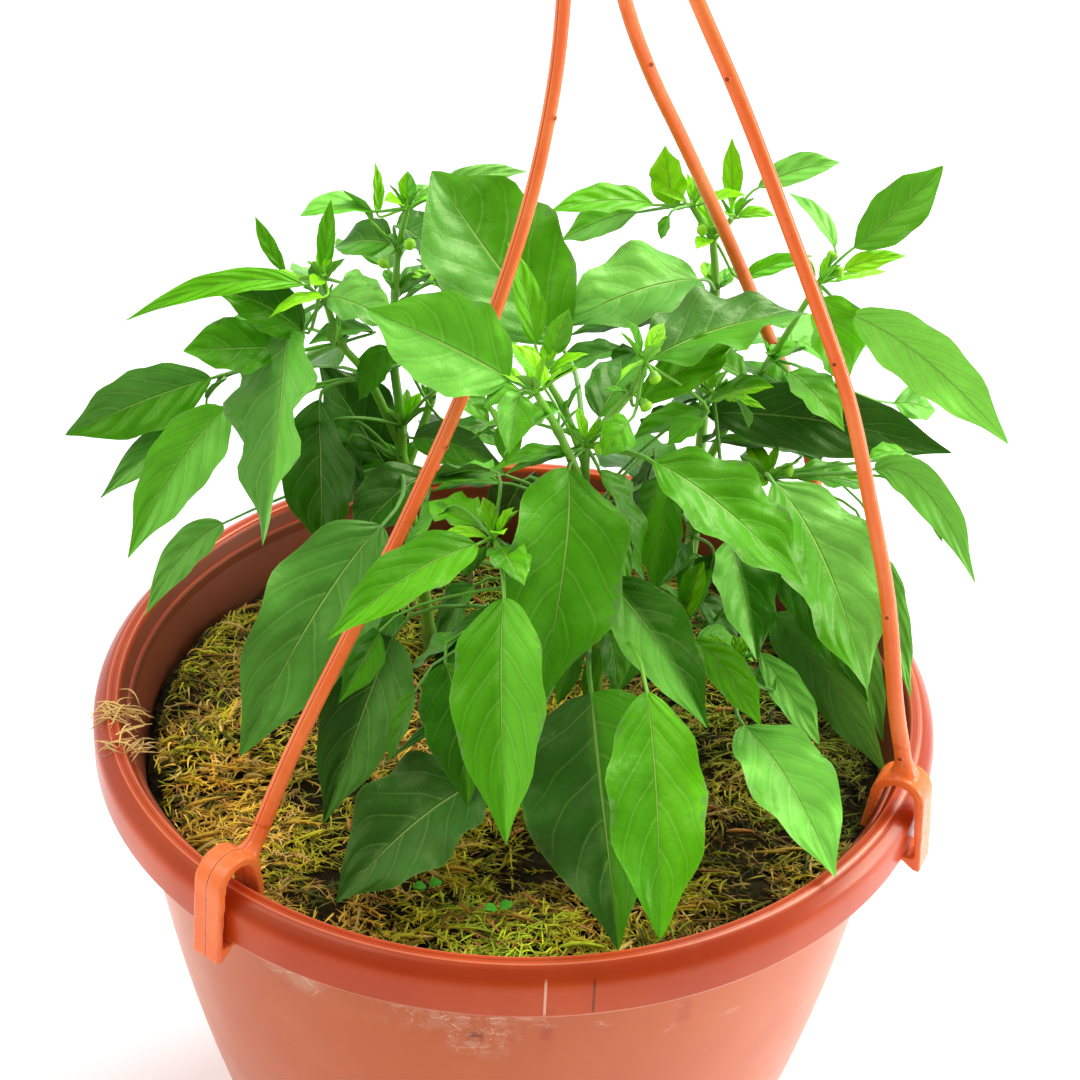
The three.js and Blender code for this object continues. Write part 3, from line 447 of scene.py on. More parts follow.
class Value:
    """A number or a colour in a graph. Arithmetic on it adds the nodes that work it out."""

    def __init__(self, graph, socket):
        self.graph, self.socket = graph, socket

    def __add__(self, other):
        return self.graph.math("ADD", self, other)

    def __sub__(self, other):
        return self.graph.math("SUBTRACT", self, other)

    def __rsub__(self, other):
        return self.graph.math("SUBTRACT", other, self)

    def __mul__(self, other):
        return self.graph.math("MULTIPLY", self, other)

    def __truediv__(self, other):
        return self.graph.math("DIVIDE", self, other)

    def __pow__(self, other):
        return self.graph.math("POWER", self, other)

    def __gt__(self, other):
        return self.graph.math("GREATER_THAN", self, other)

    def __lt__(self, other):
        return self.graph.math("LESS_THAN", self, other)

    def __abs__(self):
        return self.graph.math("ABSOLUTE", self)

    def clamped(self):
        """The same number, kept from 0 to 1."""
        self.socket.node.use_clamp = True
        return self


class Graph:
    """Nodes of a tree. What is given for an input is a number, a tuple or a Value. Places and
    lengths in a graph are in metres."""

    def __init__(self, tree):
        self.tree = tree

    def give(self, socket, value):
        if isinstance(value, Value):
            self.tree.links.new(value.socket, socket)
        elif socket.type == "RGBA":
            socket.default_value = (*value, 1)
        else:
            socket.default_value = value

    def node(self, kind, inputs=(), **settings):
        """A new node with its settings, and its inputs keyed by name or number."""
        node = self.tree.nodes.new("ShaderNode" + kind)
        for name, value in settings.items():
            setattr(node, name, value)
        for key, value in dict(inputs).items():
            self.give(node.inputs[key], value)
        return node

    def value(self, output, kind, inputs=(), **settings):
        """An output, by name or number, of a new node."""
        return Value(self, self.node(kind, inputs, **settings).outputs[output])

    def math(self, operation, *values):
        return self.value(0, "Math", enumerate(values), operation=operation)

    def step(self, value, start, stop):
        """Rises smoothly from 0 at start to 1 at stop; start may be the larger."""
        low, high = (0, 1) if start < stop else (1, 0)
        inputs = {"Value": value, "From Min": min(start, stop), "From Max": max(start, stop),
                  "To Min": low, "To Max": high}
        return self.value("Result", "MapRange", inputs, interpolation_type="SMOOTHSTEP")

    def between(self, value, low, high, soft):
        """1 where the value lies between low and high, with soft ends."""
        return self.step(value, low - soft, low + soft) * self.step(value, high + soft, high - soft)

    def near(self, value, centre, reach):
        return self.math("COMPARE", value, centre, reach)

    def mix(self, share, first, second, blend="MIX"):
        inputs = {0: share, 6: first, 7: second}
        return self.value(2, "Mix", inputs, data_type="RGBA", blend_type=blend)

    def times(self, colour, shade):
        return self.mix(1.0, colour, shade, "MULTIPLY")

    def painted(self, colour, layers):
        """The colour with layers over it, each given by its cover and its own colour."""
        for cover, shade in layers:
            colour = self.mix(cover, colour, shade)
        return colour

    def noise(self, scale, detail=3.0, roughness=0.5, stretch=None):
        inputs = {"Scale": scale, "Detail": detail, "Roughness": roughness}
        return self.value("Fac", "TexNoise", {"Vector": self.own_place(stretch), **inputs})

    def cells(self, scale, feature="DISTANCE_TO_EDGE", stretch=None):
        inputs = {"Scale": scale, "Vector": self.own_place(stretch)}
        return self.value("Distance", "TexVoronoi", inputs, feature=feature)

    def own_place(self, stretch=None):
        """The place on the object, stretched along its axes if a stretch is given."""
        place = self.value("Object", "TexCoord")
        if stretch is None:
            return place
        return self.value(0, "VectorMath", {0: place, 1: stretch}, operation="MULTIPLY")

    def distance(self, place):
        inputs = {0: self.own_place(), 1: place}
        return self.value("Value", "VectorMath", inputs, operation="DISTANCE")

    def parts(self, vector, kind="SeparateXYZ"):
        return [Value(self, socket) for socket in self.node(kind, {0: vector}).outputs]

    def attribute(self, name):
        return self.value("Color", "Attribute", attribute_name=name)

    def marks(self):
        return self.parts(self.attribute("marks"), "SeparateColor")


class Material(Graph):
    """A graph with a surface shader."""

    def __init__(self, name):
        self.material = bpy.data.materials.new(name)
        self.material.use_nodes = True
        super().__init__(self.material.node_tree)
        self.tree.nodes.clear()
        self.shader = self.node("BsdfPrincipled")
        output = self.node("OutputMaterial")
        self.tree.links.new(self.shader.outputs[0], output.inputs["Surface"])

    def finish(self, bump=None, **inputs):
        """Sets the shader's inputs, whose names have underscores for spaces, and gives the
        material. A bump has its height, its strength and its distance."""
        if bump:
            names = ("Height", "Strength", "Distance")
            inputs["Normal"] = self.value(0, "Bump", zip(names, bump))
        for name, value in inputs.items():
            self.give(self.shader.inputs[name.replace("_", " ")], value)
        return self.material


def leaf_material():
    """Leaf tissue: its tone comes from the mesh. Marks give the side veins, the underside and a
    number of the leaf's own."""
    g = Material("leaf_tissue")
    tone = g.attribute("tone")
    veins, underside, own = g.marks()[:3]
    along, across = g.parts(g.value(0, "UVMap", uv_map="place"))[:2]
    signed = (across - 0.5) * 2
    out = abs(signed)
    rib_width = 0.086 - veins * 0.045 - along * 0.036
    rib = g.step((1 - out / rib_width).clamped(), 0.0, 0.8)
    # Side veins: even steps along the blade, swept towards its tip, other ones on the other half
    sweep = out ** 1.2 * 0.34
    other_side = (signed > 0) * 0.42
    wobble = (g.noise(60, 1) - 0.5) * 0.6
    phase = (along - sweep) * (veins * 7.4) + other_side + (wobble + own)
    gap = abs(g.math("FRACT", phase + 20) - 0.5)
    line_width = 0.05 - out * 0.032
    inside = g.step(out, 0.98, 0.6) * g.step(along, 0.97, 0.82)
    line = g.step((1 - gap / line_width).clamped(), 0.0, 0.9) * inside
    # Painted shade: the tissue along each side vein is darkened, as in the groove beside the vein
    vein_groove_shade = g.step(gap, 0.03, 0.10) * g.step(gap, 0.30, 0.10)
    crest = g.step(gap, 0.0, 0.5) * inside
    net = g.step(g.cells(520), 0.10, 0.0)
    rim = g.step(out, 0.95, 1.0)
    mottle_and_vein_shade = (g.noise(45, 4) * 0.6 + 0.7) * (1.03 - vein_groove_shade * 0.11)
    fine = g.noise(900, 2) * 0.16 + 0.92
    pale = g.mix(0.45, tone, srgb(176, 222, 110))
    pale_rib = g.mix(0.62, tone, srgb(182, 226, 110))
    under_share = underside * 0.25 + 0.37
    colour = g.painted(g.times(tone, g.times(mottle_and_vein_shade, fine)), (
        (net * 0.05, pale), (line * under_share, pale), (rim * 0.25, pale), (rib * 0.85, pale_rib)))
    height = crest * 0.35 - rib * 0.7 - net * 0.03 + g.noise(80, 2) * 1.5 + g.noise(260, 2) * 0.12
    gloss = g.noise(120, 2) * 0.14 + 0.30 + underside * 0.2
    return g.finish(Base_Color=colour, Roughness=gloss, bump=(height, 0.8, 0.0011),
                    Specular_IOR_Level=0.3, Specular_Tint=(0.85, 1, 0.42))


def stem_material():
    """Green stems and leaf stalks, streaked along their length."""
    g = Material("green_stem")
    streaks = g.noise(220, 3, stretch=(1, 1, 0.15))
    colour = g.times(g.attribute("tone"), streaks * 0.5 + 0.74)
    return g.finish(Base_Color=colour, Roughness=0.45, bump=(streaks, 0.35, 0.0004))


# Plants

FOLD = 0.46
CUP = 0.13
BLADE_THICKNESS = 0.4
# Steps along a blade and columns across it, for blades up to a length
LEAF_SIZES = ((17, 8, 6), (40, 14, 8), (75, 22, 12), (400, 30, 14))
TISSUE_SHARE = np.array([0.8, 1.0, 0.38])
STEM_GREEN = srgb(118, 182, 44)
STEM_OLD = srgb(104, 136, 54)
STEM_NODE = srgb(84, 78, 62)
PETIOLE_GREEN = srgb(118, 184, 48)
UNDER_PALE = srgb(134, 186, 102)
STEM_STEPS = 6
PETIOLE_STEPS = 6
RIB_STEPS = 8
# Size, number of leaves and tone of the young tufts at a stem's tip and at its joints
TIP_SHOOT = (14, 6, YOUNG)
SIDE_SHOOT = (10, 3, LIGHT)
SHOOT_FLOOR = 230
GOLDEN_TURN = 2.4
# A bud's radius at shares of its length; its stalk comes first
BUD_SHAPE = ((0, 0.6), (0.2, 0.6), (0.45, 0.6), (0.6, 0.8), (0.66, 1.5), (0.72, 1.7), (0.78, 1.75),
             (0.84, 2.1), (0.92, 2.0), (0.98, 1.2), (1.0, 0.3))


def blade_share(along, fullness):
    """Half width of a blade from its base, 0, to its tip, 1, as a share of the widest half width.
    Fullness, about 0, moves the widest place along the blade."""
    pointed = min(max((along - 0.72) / 0.26, 0), 1)
    taper = 1 - 0.4 * pointed * pointed * (3 - 2 * pointed)
    rise, fall = 0.72 + fullness, 0.87 - fullness
    widest = rise / (rise + fall)
    return (along / widest) ** rise * ((1 - along) / (1 - widest)) ** fall * taper


class Midrib:
    """The midrib of a leaf: a slightly bent arc, with the blade's own directions along it."""

    def __init__(self, base, tip, arch, roll):
        self.base, self.tip = np.array(base, float), np.array(tip, float)
        self.bend = self.base + 0.45 * (self.tip - self.base)
        self.bend[2] += arch
        reach = self.tip - self.base
        self.length = np.linalg.norm(reach)
        reach[2] = 0
        self.side = np.cross((0, 0, 1), unit(reach))
        self.bend += self.side * rng.uniform(-0.07, 0.07) * self.length
        self.roll = math.radians(roll)
        self.twist = math.radians(rng.uniform(-26, 26))

    def at(self, along):
        """Point, direction, left and up at a share of the length."""
        point = bent(along, self.base, self.bend, self.tip)
        slope = unit(2 * (1 - along) * (self.bend - self.base) + 2 * along * (self.tip - self.bend))
        turn = self.roll + self.twist * (along - 0.35)
        left = (self.side * math.cos(turn) + np.cross(slope, self.side) * math.sin(turn)
                + slope * slope.dot(self.side) * (1 - math.cos(turn)))
        return point, slope, left, np.cross(slope, left)


def add_blade(shell, midrib, width, left_tone, right_tone):
    """Both faces of a leaf's blade, which meet at its edge."""
    _, steps, columns = next(size for size in LEAF_SIZES if midrib.length < size[0])
    ruffle = rng.uniform(0.09, 0.2) * (1 if width > 12 else 0.6)
    waves = rng.uniform(2.0, 3.4)
    starts = rng.uniform(0, 2 * math.pi, 2)
    margin_waves = rng.uniform(2.5, 4.5)
    margin_start = rng.uniform(0, 2 * math.pi, 2)
    lean = rng.uniform(-0.03, 0.03)
    across = np.linspace(1, -1, columns + 1)
    out = np.abs(across)
    fold = np.sqrt(out ** 2 + 0.012) - math.sqrt(0.012)
    half_of = (across < 0).astype(int)
    upper, lower, places = [], [], []
    for even in np.arange(steps + 1) / steps:
        along = 0.55 * even + 0.45 * (1 - math.cos(math.pi * even)) / 2
        point, _, left, up = midrib.at(along)
        half = blade_share(along, 4 * lean) * width / 2
        edge = 1 + 0.045 * np.sin(2 * math.pi * margin_waves * along + margin_start[half_of]) * out
        reach = half * across * edge + lean * half * np.sin(math.pi * along)
        swing = np.sin(2 * math.pi * waves * along + starts[half_of]) * out ** 2
        lift = half * (FOLD * fold - CUP * out ** 2) + ruffle * half * swing
        middle = point + np.outer(reach, left) + np.outer(lift, up)
        thick = BLADE_THICKNESS / 2 * (1 - out ** 4) * min(1, 8 * along, 8 * (1 - along) + 0.05)
        upper.append(middle + np.outer(thick, up))
        lower.append(middle - np.outer(thick, up))
        places.append(np.stack([np.full(columns + 1, along), (across + 1) / 2], axis=1))
    share = np.clip(across * 4 + 0.5, 0, 1)[:, None]
    own = rng.uniform(0, 1)
    drift = rng.uniform(0.9, 1.1)
    tones = share * np.array(left_tone) + (1 - share) * np.array(right_tone)
    tones = np.tile(tones * drift * TISSUE_SHARE, (steps + 1, 1))
    under = 0.5 * tones + 0.5 * np.array(UNDER_PALE) * tones.mean() / np.mean(UNDER_PALE)
    veins = min(0.8, 0.3 + midrib.length / 140)
    places = np.concatenate(places)
    for below, (points, shades) in enumerate(((upper, tones), (lower, under))):
        faces = grid_faces(steps + 1, columns + 1, flip=below == 1)
        shell.add(np.concatenate(points), faces, shades, places, (veins, below, own))


def add_leaf(leaves, stems, start, base, tip, width, arch, roll, left_tone, right_tone):
    """A leaf with its petiole, which goes on under the blade as its midrib."""
    midrib = Midrib(base, tip, arch, roll)
    add_blade(leaves, midrib, width, left_tone, right_tone)
    start = np.array(start, float)
    _, slope, _, _ = midrib.at(0)
    span = np.linalg.norm(midrib.base - start)
    first = start + unit(midrib.base - start + np.array([0, 0, 0.2 * span])) * span * 0.35
    second = midrib.base - slope * span * 0.3
    line = []
    for t in np.linspace(0, 1, PETIOLE_STEPS + 1)[:-1]:
        line.append((1 - t) ** 3 * start + 3 * t * (1 - t) ** 2 * first
                    + 3 * t * t * (1 - t) * second + t ** 3 * midrib.base)
    for t in np.linspace(0, 0.9, RIB_STEPS):
        point, _, _, up = midrib.at(t)
        line.append(point - up * (0.15 + 0.25 * (1 - t)))
    thick = 0.42 + 0.008 * width
    radii = [*np.linspace(1.25, 1, PETIOLE_STEPS), *np.linspace(0.9, 0.25, RIB_STEPS)]
    tone = 0.6 * np.array(PETIOLE_GREEN) + 0.4 * np.array(left_tone)
    add_tube(stems, line, np.array(radii) * thick, 6, tone)


def add_bud(stems, start, tip):
    """A closed flower bud that nods on a short stalk."""
    start, tip = np.array(start, float), np.array(tip, float)
    middle = (start + tip) / 2 + np.array([0, 0, 2.5])
    line = [bent(t, start, middle, tip) for t, _ in BUD_SHAPE]
    tones = [STEM_GREEN if t < 0.8 else YOUNG for t, _ in BUD_SHAPE]
    add_tube(stems, line, [radius for _, radius in BUD_SHAPE], 8, tones)


def add_shoot(leaves, stems, at, size, count, tone):
    """A tuft of young leaves that unfolds from a shoot's tip: small folded ones in the middle,
    larger bent ones around them."""
    at = np.array(at, float)
    first = rng.uniform(0, 2 * math.pi)
    for i in range(count):
        turn = first + i * GOLDEN_TURN + rng.normal(0, 0.35)
        outer = (i + 1) / count
        reach = size * (0.45 + 0.65 * outer) * rng.uniform(0.75, 1.2)
        rise = rng.uniform(0.2, 0.7) + 1.7 * (1 - outer)
        way = unit(heading(turn, rise))
        base = at + way * size * 0.14
        tip = base + way * reach - np.array([0, 0, rng.uniform(0, 0.35) * outer * reach])
        young = np.array(tone) * rng.uniform(0.75, 1.2)
        width, arch = reach * rng.uniform(0.28, 0.46), reach * rng.uniform(0.1, 0.22)
        roll = rng.uniform(-40, 40)
        add_leaf(leaves, stems, at, base, tip, width, arch, roll, young, young * 0.9)


def add_stem(stems, path, thick, trunk):
    """A branch with a slightly swollen, darker joint at each of its inner points."""
    line = smooth_line(path, STEM_STEPS)
    share = np.linspace(0, 1, len(line))
    radii = thick[0] + (thick[1] - thick[0]) * share
    tones = np.array(STEM_GREEN) * np.ones((len(line), 3))
    if trunk:
        age = np.clip(1 - share * 2.2, 0, 1)[:, None]
        tones = tones * (1 - age) + np.array(STEM_OLD) * age
    for joint in range(STEM_STEPS, len(line) - 1, STEM_STEPS):
        radii[joint] *= 1.25
        tones[joint] = 0.65 * tones[joint] + 0.35 * np.array(STEM_NODE)
    add_tube(stems, line, radii, 10, tones)


def make_plant(name, branches):
    """The plant whose first branch is its trunk."""
    leaves, stems = Shell(), Shell()
    for number, (path, thick, leaf_rows, buds) in enumerate(branches):
        add_stem(stems, path, thick, trunk=number == 0)
        for at, *row in leaf_rows:
            add_leaf(leaves, stems, path[at], *row)
        for at, tip in buds:
            add_bud(stems, path[at], tip)
        add_shoot(leaves, stems, path[-1], *TIP_SHOOT)
        for point in path[1:-1]:
            if point[2] > SHOOT_FLOOR:
                add_shoot(leaves, stems, point, *SIDE_SHOOT)
    leaves.build("leaves_" + name, LEAF_TISSUE, "plant_" + name, "foliage")
    stems.build("stems_" + name, GREEN_STEM, "plant_" + name, "foliage")


LEAF_TISSUE = leaf_material()
GREEN_STEM = stem_material()
make_plant("left", LEFT_PLANT)
make_plant("front", FRONT_PLANT)
make_plant("right", RIGHT_PLANT)


# Pot

POT_HEIGHT = 215
WALL = 2.5
FLOOR = 3
BASE_RADIUS = 80
BASE_CORNER = 8
BODY_TOP_RADIUS = 130
BAND_RADIUS = 143
BAND_HEIGHT = 17
BODY_TOP = POT_HEIGHT - BAND_HEIGHT
LIP_RADIUS = 138
LIP_WIDTH = 3.5
POT_SIDES = 160
DRAIN_HOLES = 6
DRAIN_RADIUS = 4.5
DRAIN_CIRCLE = 62
SHARP_EDGE = math.radians(50)


def body_radius(z):
    """Outer radius of the pot's body, which narrows in a curve towards the base."""
    below = max(BODY_TOP - z, 0)
    return BODY_TOP_RADIUS - 0.064 * below - 0.00074 * below * below


def inner_radius(z):
    """Radius of the pot's inside, which flares behind the band."""
    flare = min(max((z - BODY_TOP) / BAND_HEIGHT, 0), 1)
    wall = body_radius(z) - WALL
    return wall + (LIP_RADIUS - LIP_WIDTH - wall) * flare


def rounded(profile, steps=4):
    """A profile of (radius, height, corner radius) points with its corners rounded."""
    line = []
    for i, (x, y, corner) in enumerate(profile):
        here = np.array([x, y], float)
        if corner == 0 or i in (0, len(profile) - 1):
            line.append(here)
            continue
        before = np.array(profile[i - 1][:2], float) - here
        after = np.array(profile[i + 1][:2], float) - here
        reach = min(corner, np.linalg.norm(before) * 0.48, np.linalg.norm(after) * 0.48)
        start, stop = here + unit(before) * reach, here + unit(after) * reach
        line += [bent(t, start, here, stop) for t in np.linspace(0, 1, steps + 1)]
    return np.array(line)


def turned_mesh(name, line, sides, centre=BARE):
    """A mesh turned about the vertical axis; the line starts and ends on the axis."""
    turns = np.arange(sides) / sides * 2 * math.pi
    inner = line[1:-1]
    points = [(0, 0, line[0][1])]
    for radius, z in inner:
        points += [(radius * math.cos(t), radius * math.sin(t), z) for t in turns]
    points.append((0, 0, line[-1][1]))
    faces = [tuple(1 + k for k in face) for face in grid_faces(len(inner), sides, closed=True)]
    last = 1 + (len(inner) - 1) * sides
    for j in range(sides):
        k = (j + 1) % sides
        faces.append((0, 1 + k, 1 + j))
        faces.append((len(points) - 1, last + j, last + k))
    return bare_mesh(name, np.array(points) + np.array(centre), faces)


def pot_mesh():
    """The pot's wall, floor and down-turned rim band, turned in one piece."""
    outer = [(body_radius(z), z, 0) for z in range(20, BODY_TOP, 12)]
    inner = [(inner_radius(z), z, 0) for z in range(BODY_TOP - 6, FLOOR + 8, -12)]
    profile = [
        (0, 0, 0), (BASE_RADIUS + BASE_CORNER - 1.5, 0, 6), *outer,
        (BODY_TOP_RADIUS, BODY_TOP - 0.5, 0), (BODY_TOP_RADIUS + 0.5, POT_HEIGHT - 6, 1),
        (BAND_RADIUS - WALL, POT_HEIGHT - 7, 1), (BAND_RADIUS - WALL, BODY_TOP + 0.3, 0.6),
        (BAND_RADIUS + 0.2, BODY_TOP, 0.9), (BAND_RADIUS, POT_HEIGHT - 4.5, 3.2),
        (LIP_RADIUS + 1.2, POT_HEIGHT - 0.6, 1.5), (LIP_RADIUS - 0.6, POT_HEIGHT, 0.8),
        (LIP_RADIUS - LIP_WIDTH, POT_HEIGHT, 1.2), (inner_radius(BODY_TOP + 6), BODY_TOP + 6, 0),
        *inner, (inner_radius(FLOOR + 5) - 1, FLOOR, 4), (0, FLOOR, 0),
    ]
    return turned_mesh("pot_shell", rounded(profile), POT_SIDES)


def cut_away(mesh, drill):
    """The mesh without the space that the drill shell fills."""
    body = placed("uncut", mesh)
    cutter = placed("drills", bare_mesh("drills", np.concatenate(drill.points), drill.faces))
    cut = body.modifiers.new("holes", "BOOLEAN")
    cut.operation = "DIFFERENCE"
    cut.object = cutter
    cut.solver = "EXACT"
    done = applied(body)
    bpy.data.objects.remove(cutter)
    return done


def with_drain_holes(mesh):
    drill = Shell()
    for i in range(DRAIN_HOLES):
        turn = i / DRAIN_HOLES * 2 * math.pi
        x, y = DRAIN_CIRCLE * math.cos(turn), DRAIN_CIRCLE * math.sin(turn)
        add_tube(drill, [(x, y, -FLOOR), (x, y, 2 * FLOOR)], DRAIN_RADIUS, 20)
    return cut_away(mesh, drill)


# The pot's marks, in metres. Smudges: place, size and how much of it stays clear
SMUDGES = (((-0.070, -0.107, 0.185), 0.011, 0.34), ((-0.062, -0.112, 0.182), 0.011, 0.34),
           ((-0.022, -0.128, 0.192), 0.024, 0.44), ((-0.006, -0.128, 0.176), 0.016, 0.44),
           ((0.016, -0.129, 0.194), 0.014, 0.44))
DIRT_SPOTS = (((-0.007, -0.128, 0.174), 0.0045), ((0.066, -0.111, 0.183), 0.003))
# x of the smears down the body and of the scratches across the band
SMEARS = (0.0145, 0.0575)
WORN_PALE = srgb(240, 190, 160)
SCRATCHES = ((0.0135, WORN_PALE), (0.0278, srgb(92, 34, 14)))
# Radius, cover and colour of the lines on top of the rim: a painted highlight along each of its two
# edges, and a painted shadow for a groove between them
RIM_EDGE_HIGHLIGHT = srgb(236, 160, 120)
RIM_HIGHLIGHTS_AND_GROOVE_SHADE = ((0.1349, 0.35, RIM_EDGE_HIGHLIGHT), (0.1379, 0.35, RIM_EDGE_HIGHLIGHT), (0.1364, 0.5, srgb(110, 34, 12)))


def plastic_base(g, colour, light, mottle_scale, amount):
    """Colour of a moulded plastic with soft clouds in it."""
    return g.mix(g.step(g.noise(mottle_scale, 4), 0.35, 0.72) * amount, colour, light)


def pot_material():
    """Terracotta-coloured plastic: paler body, deeper band, darker inside, scuffs and cobwebs."""
    g = Material("terracotta_plastic")
    x, y, z = g.parts(g.own_place())
    radius = g.math("SQRT", x * x + y * y)
    front = y < 0
    flow = g.noise(30, 5, stretch=(1, 1, 7))
    body = plastic_base(g, srgb(196, 92, 46), srgb(210, 112, 62), 14, 0.7)
    streaks = g.noise(26, 3, stretch=(1, 1, 0.25))
    band = g.mix(g.step(streaks, 0.35, 0.7), srgb(184, 56, 8), srgb(202, 74, 20))
    slope = g.step(z, 0.2095, 0.2125) * g.step(radius, 0.1378, 0.1386)
    band = g.mix(slope * 0.5, band, srgb(140, 36, 4))
    in_band = g.step(z, (BODY_TOP - 1.5) * MM, (BODY_TOP - 0.3) * MM)

    # Dust and cobweb smudges under the band
    webs = g.step(g.noise(26, 6, 0.7, stretch=(1, 1, 2.5)), 0.60, 0.72)
    for place, size, clear in SMUDGES:
        tangle = g.step(g.noise(160, 4, 0.75), clear, clear + 0.16)
        webs = g.math("MAXIMUM", webs, g.step(g.distance(place), size, 0.004) * tangle)
    threads = g.step(g.cells(75, stretch=(1, 1, 2.2)), 0.03, 0.0)
    smudge = (g.between(z, 0.160, 0.197, 0.006) * (webs * (threads + 0.3))).clamped()
    layers = [(in_band, band), (smudge * 0.8, srgb(240, 216, 190))]
    # Smears, spots, specks and stains
    run_down = g.step(z, 0.160, 0.178) * g.step(flow, 0.38, 0.62) * front
    for centre in SMEARS:
        smear = g.step(abs(x - centre), 0.0032, 0.0006) * run_down
        layers.append((smear * 0.55, srgb(170, 56, 20)))
    for place, size in DIRT_SPOTS:
        spot = g.step(g.distance(place), size, 0.0) * g.step(g.noise(700, 3), 0.4, 0.6)
        layers.append((spot * 0.9, srgb(88, 34, 16)))
    layers.append((g.step(g.noise(210, 2, 0.7), 0.73, 0.77) * 0.55, srgb(120, 52, 24)))
    layers.append((g.step(g.noise(17, 5, 0.65), 0.60, 0.75) * 0.30, srgb(158, 70, 36)))
    # Scratches across the front of the band, and a worn line along its lower edge
    on_band = g.between(z, 0.1993, 0.2115, 0.001)
    for place, shade in SCRATCHES:
        layers.append((g.near(x, place, 0.0004) * front * on_band * 0.75, shade))
    worn = g.between(z, 0.1980, 0.1988, 0.0004) * g.step(flow, 0.35, 0.6)
    layers.append((worn * 0.5, WORN_PALE))
    # The inside is darker, and darker still in patches down towards the soil
    facing = g.parts(g.value("Normal", "NewGeometry"))
    outward = facing[0] * x + facing[1] * y
    inner = g.step(outward, 0.0, -0.03) * g.step(z, 0.214, 0.2125)
    layers.append((inner, srgb(132, 56, 26)))
    # Painted highlights along the edges of the rim's top, and painted shade for the groove between them
    for edge, cover, shade in RIM_HIGHLIGHTS_AND_GROOVE_SHADE:
        layers.append((g.near(radius, edge, 0.0003) * g.step(z, 0.2125, 0.2135) * cover, shade))
    darker_towards_soil = ((g.step(z, 0.200, 0.184) + g.noise(70, 5, 0.7) * 0.6) * inner).clamped()
    layers.append((darker_towards_soil * 0.6, srgb(70, 44, 22)))

    rough = g.noise(60, 4) * 0.14 + 0.24 + smudge * 0.3 + inner * 0.25
    height = g.noise(600, 2) * 0.12 + g.noise(55, 3) * 0.5
    return g.finish(Base_Color=g.painted(body, layers), Roughness=rough,
                    bump=(height, 0.22, 0.0008), Specular_IOR_Level=0.46,
                    Specular_Tint=(1, 0.8, 0.6))


pot = with_drain_holes(pot_mesh())
pot.shade_smooth()
pot.set_sharp_from_angle(angle=SHARP_EDGE)
finished("pot_shell", pot, pot_material(), "pot")


# Hanger

ROD_RADIUS = 2.25
ROD_ROOT_RADIUS = 2.9
# Points of the rod's line that grow together with the clip, and where the rod's own mesh starts
ROOT_POINTS = 14
ROD_START = 10
CLIP_WIDTH = 11
CLIP_WALL = 3
CLIP_LEG_BELOW_RIM = 23
CLIP_LEG_LEAN = 2.5
CLIP_ARCH_RADIUS = 6
CLIP_ARCH_CENTRE = 137.5
CLIP_ARCH_HEIGHT = 3
CLIP_INNER_LEG = 11
PIN_RING_RADIUS = 0.85
HUB_CENTRE = (12.5, 3.5)
HUB_RADIUS = 16
HUB_BOTTOM = 320
HUB_THICKNESS = 12
SOCKET_DEPTH = 7
HOOK_ROD_RADIUS = 3
HOOK_RADIUS = 14
HOOK_NECK = 10
HOOK_TIP_RADII = (2.9, 2.6, 2.0, 1.0)
FIT_GAP = 0.3
# Marks of the hanger's plastic: far from the parting line, plain and with a darker pit
OFF_LINE = (0.9, 0, 0)
PIT = (0.9, 1, 0)

# name: direction of the clip in degrees, line of the rod as distance from the pot's axis and
# height above the rim, and heights of the small round pin marks on the rod's side
ARMS = {
    "left": (-127.5, [
        (130.5, 5), (124.5, 10.5), (115, 24.5), (101.5, 42), (65, 83), (35, 121), (17, 149),
        (2, 180), (-7, 212), (-10, 240), (-9, 270), (-8, 298), (-8, 320)], (114, 204)),
    "right": (-24, [
        (137.5, 10.5), (136, 18), (131, 38), (124, 74), (114, 108), (103.5, 140), (90, 169),
        (76, 197), (62, 224), (47, 250), (33, 275), (22, 298), (17.3, 313), (17, 320)],
        (18, 69, 150, 232)),
    "back": (37.5, [
        (137.5, 10.5), (136, 18), (132, 34), (123, 60), (112, 84), (103, 100), (89, 127),
        (72, 158), (56, 186), (41.5, 211), (30, 236), (23, 262), (20, 290), (20, 320)],
        (20, 101, 213)),
}


def arc(centre, radius, start, stop, steps):
    """Points on an arc between two angles in degrees."""
    turns = np.radians(np.linspace(start, stop, steps + 1))
    return [(centre[0] + radius * math.cos(t), centre[1] + radius * math.sin(t)) for t in turns]


def clip_outline():
    """Outline of a clip, in radius and height above the rim."""
    outer, inner = CLIP_ARCH_CENTRE + CLIP_ARCH_RADIUS, CLIP_ARCH_CENTRE - CLIP_ARCH_RADIUS
    leg = outer + CLIP_LEG_LEAN
    catch = -BAND_HEIGHT - 0.6
    centre = (CLIP_ARCH_CENTRE, CLIP_ARCH_HEIGHT)
    return [
        *arc(centre, CLIP_ARCH_RADIUS + CLIP_WALL, 0, 180, 24),
        (inner - CLIP_WALL - 1.6, -CLIP_INNER_LEG), (inner - 2.2, -CLIP_INNER_LEG),
        *arc(centre, CLIP_ARCH_RADIUS, 180, 0, 18),
        (leg, catch), (leg - 5.5, catch - 0.3), (leg - 5, catch - 1.6),
        (leg + 0.6, -CLIP_LEG_BELOW_RIM), (leg + CLIP_WALL - 0.4, -CLIP_LEG_BELOW_RIM),
    ]


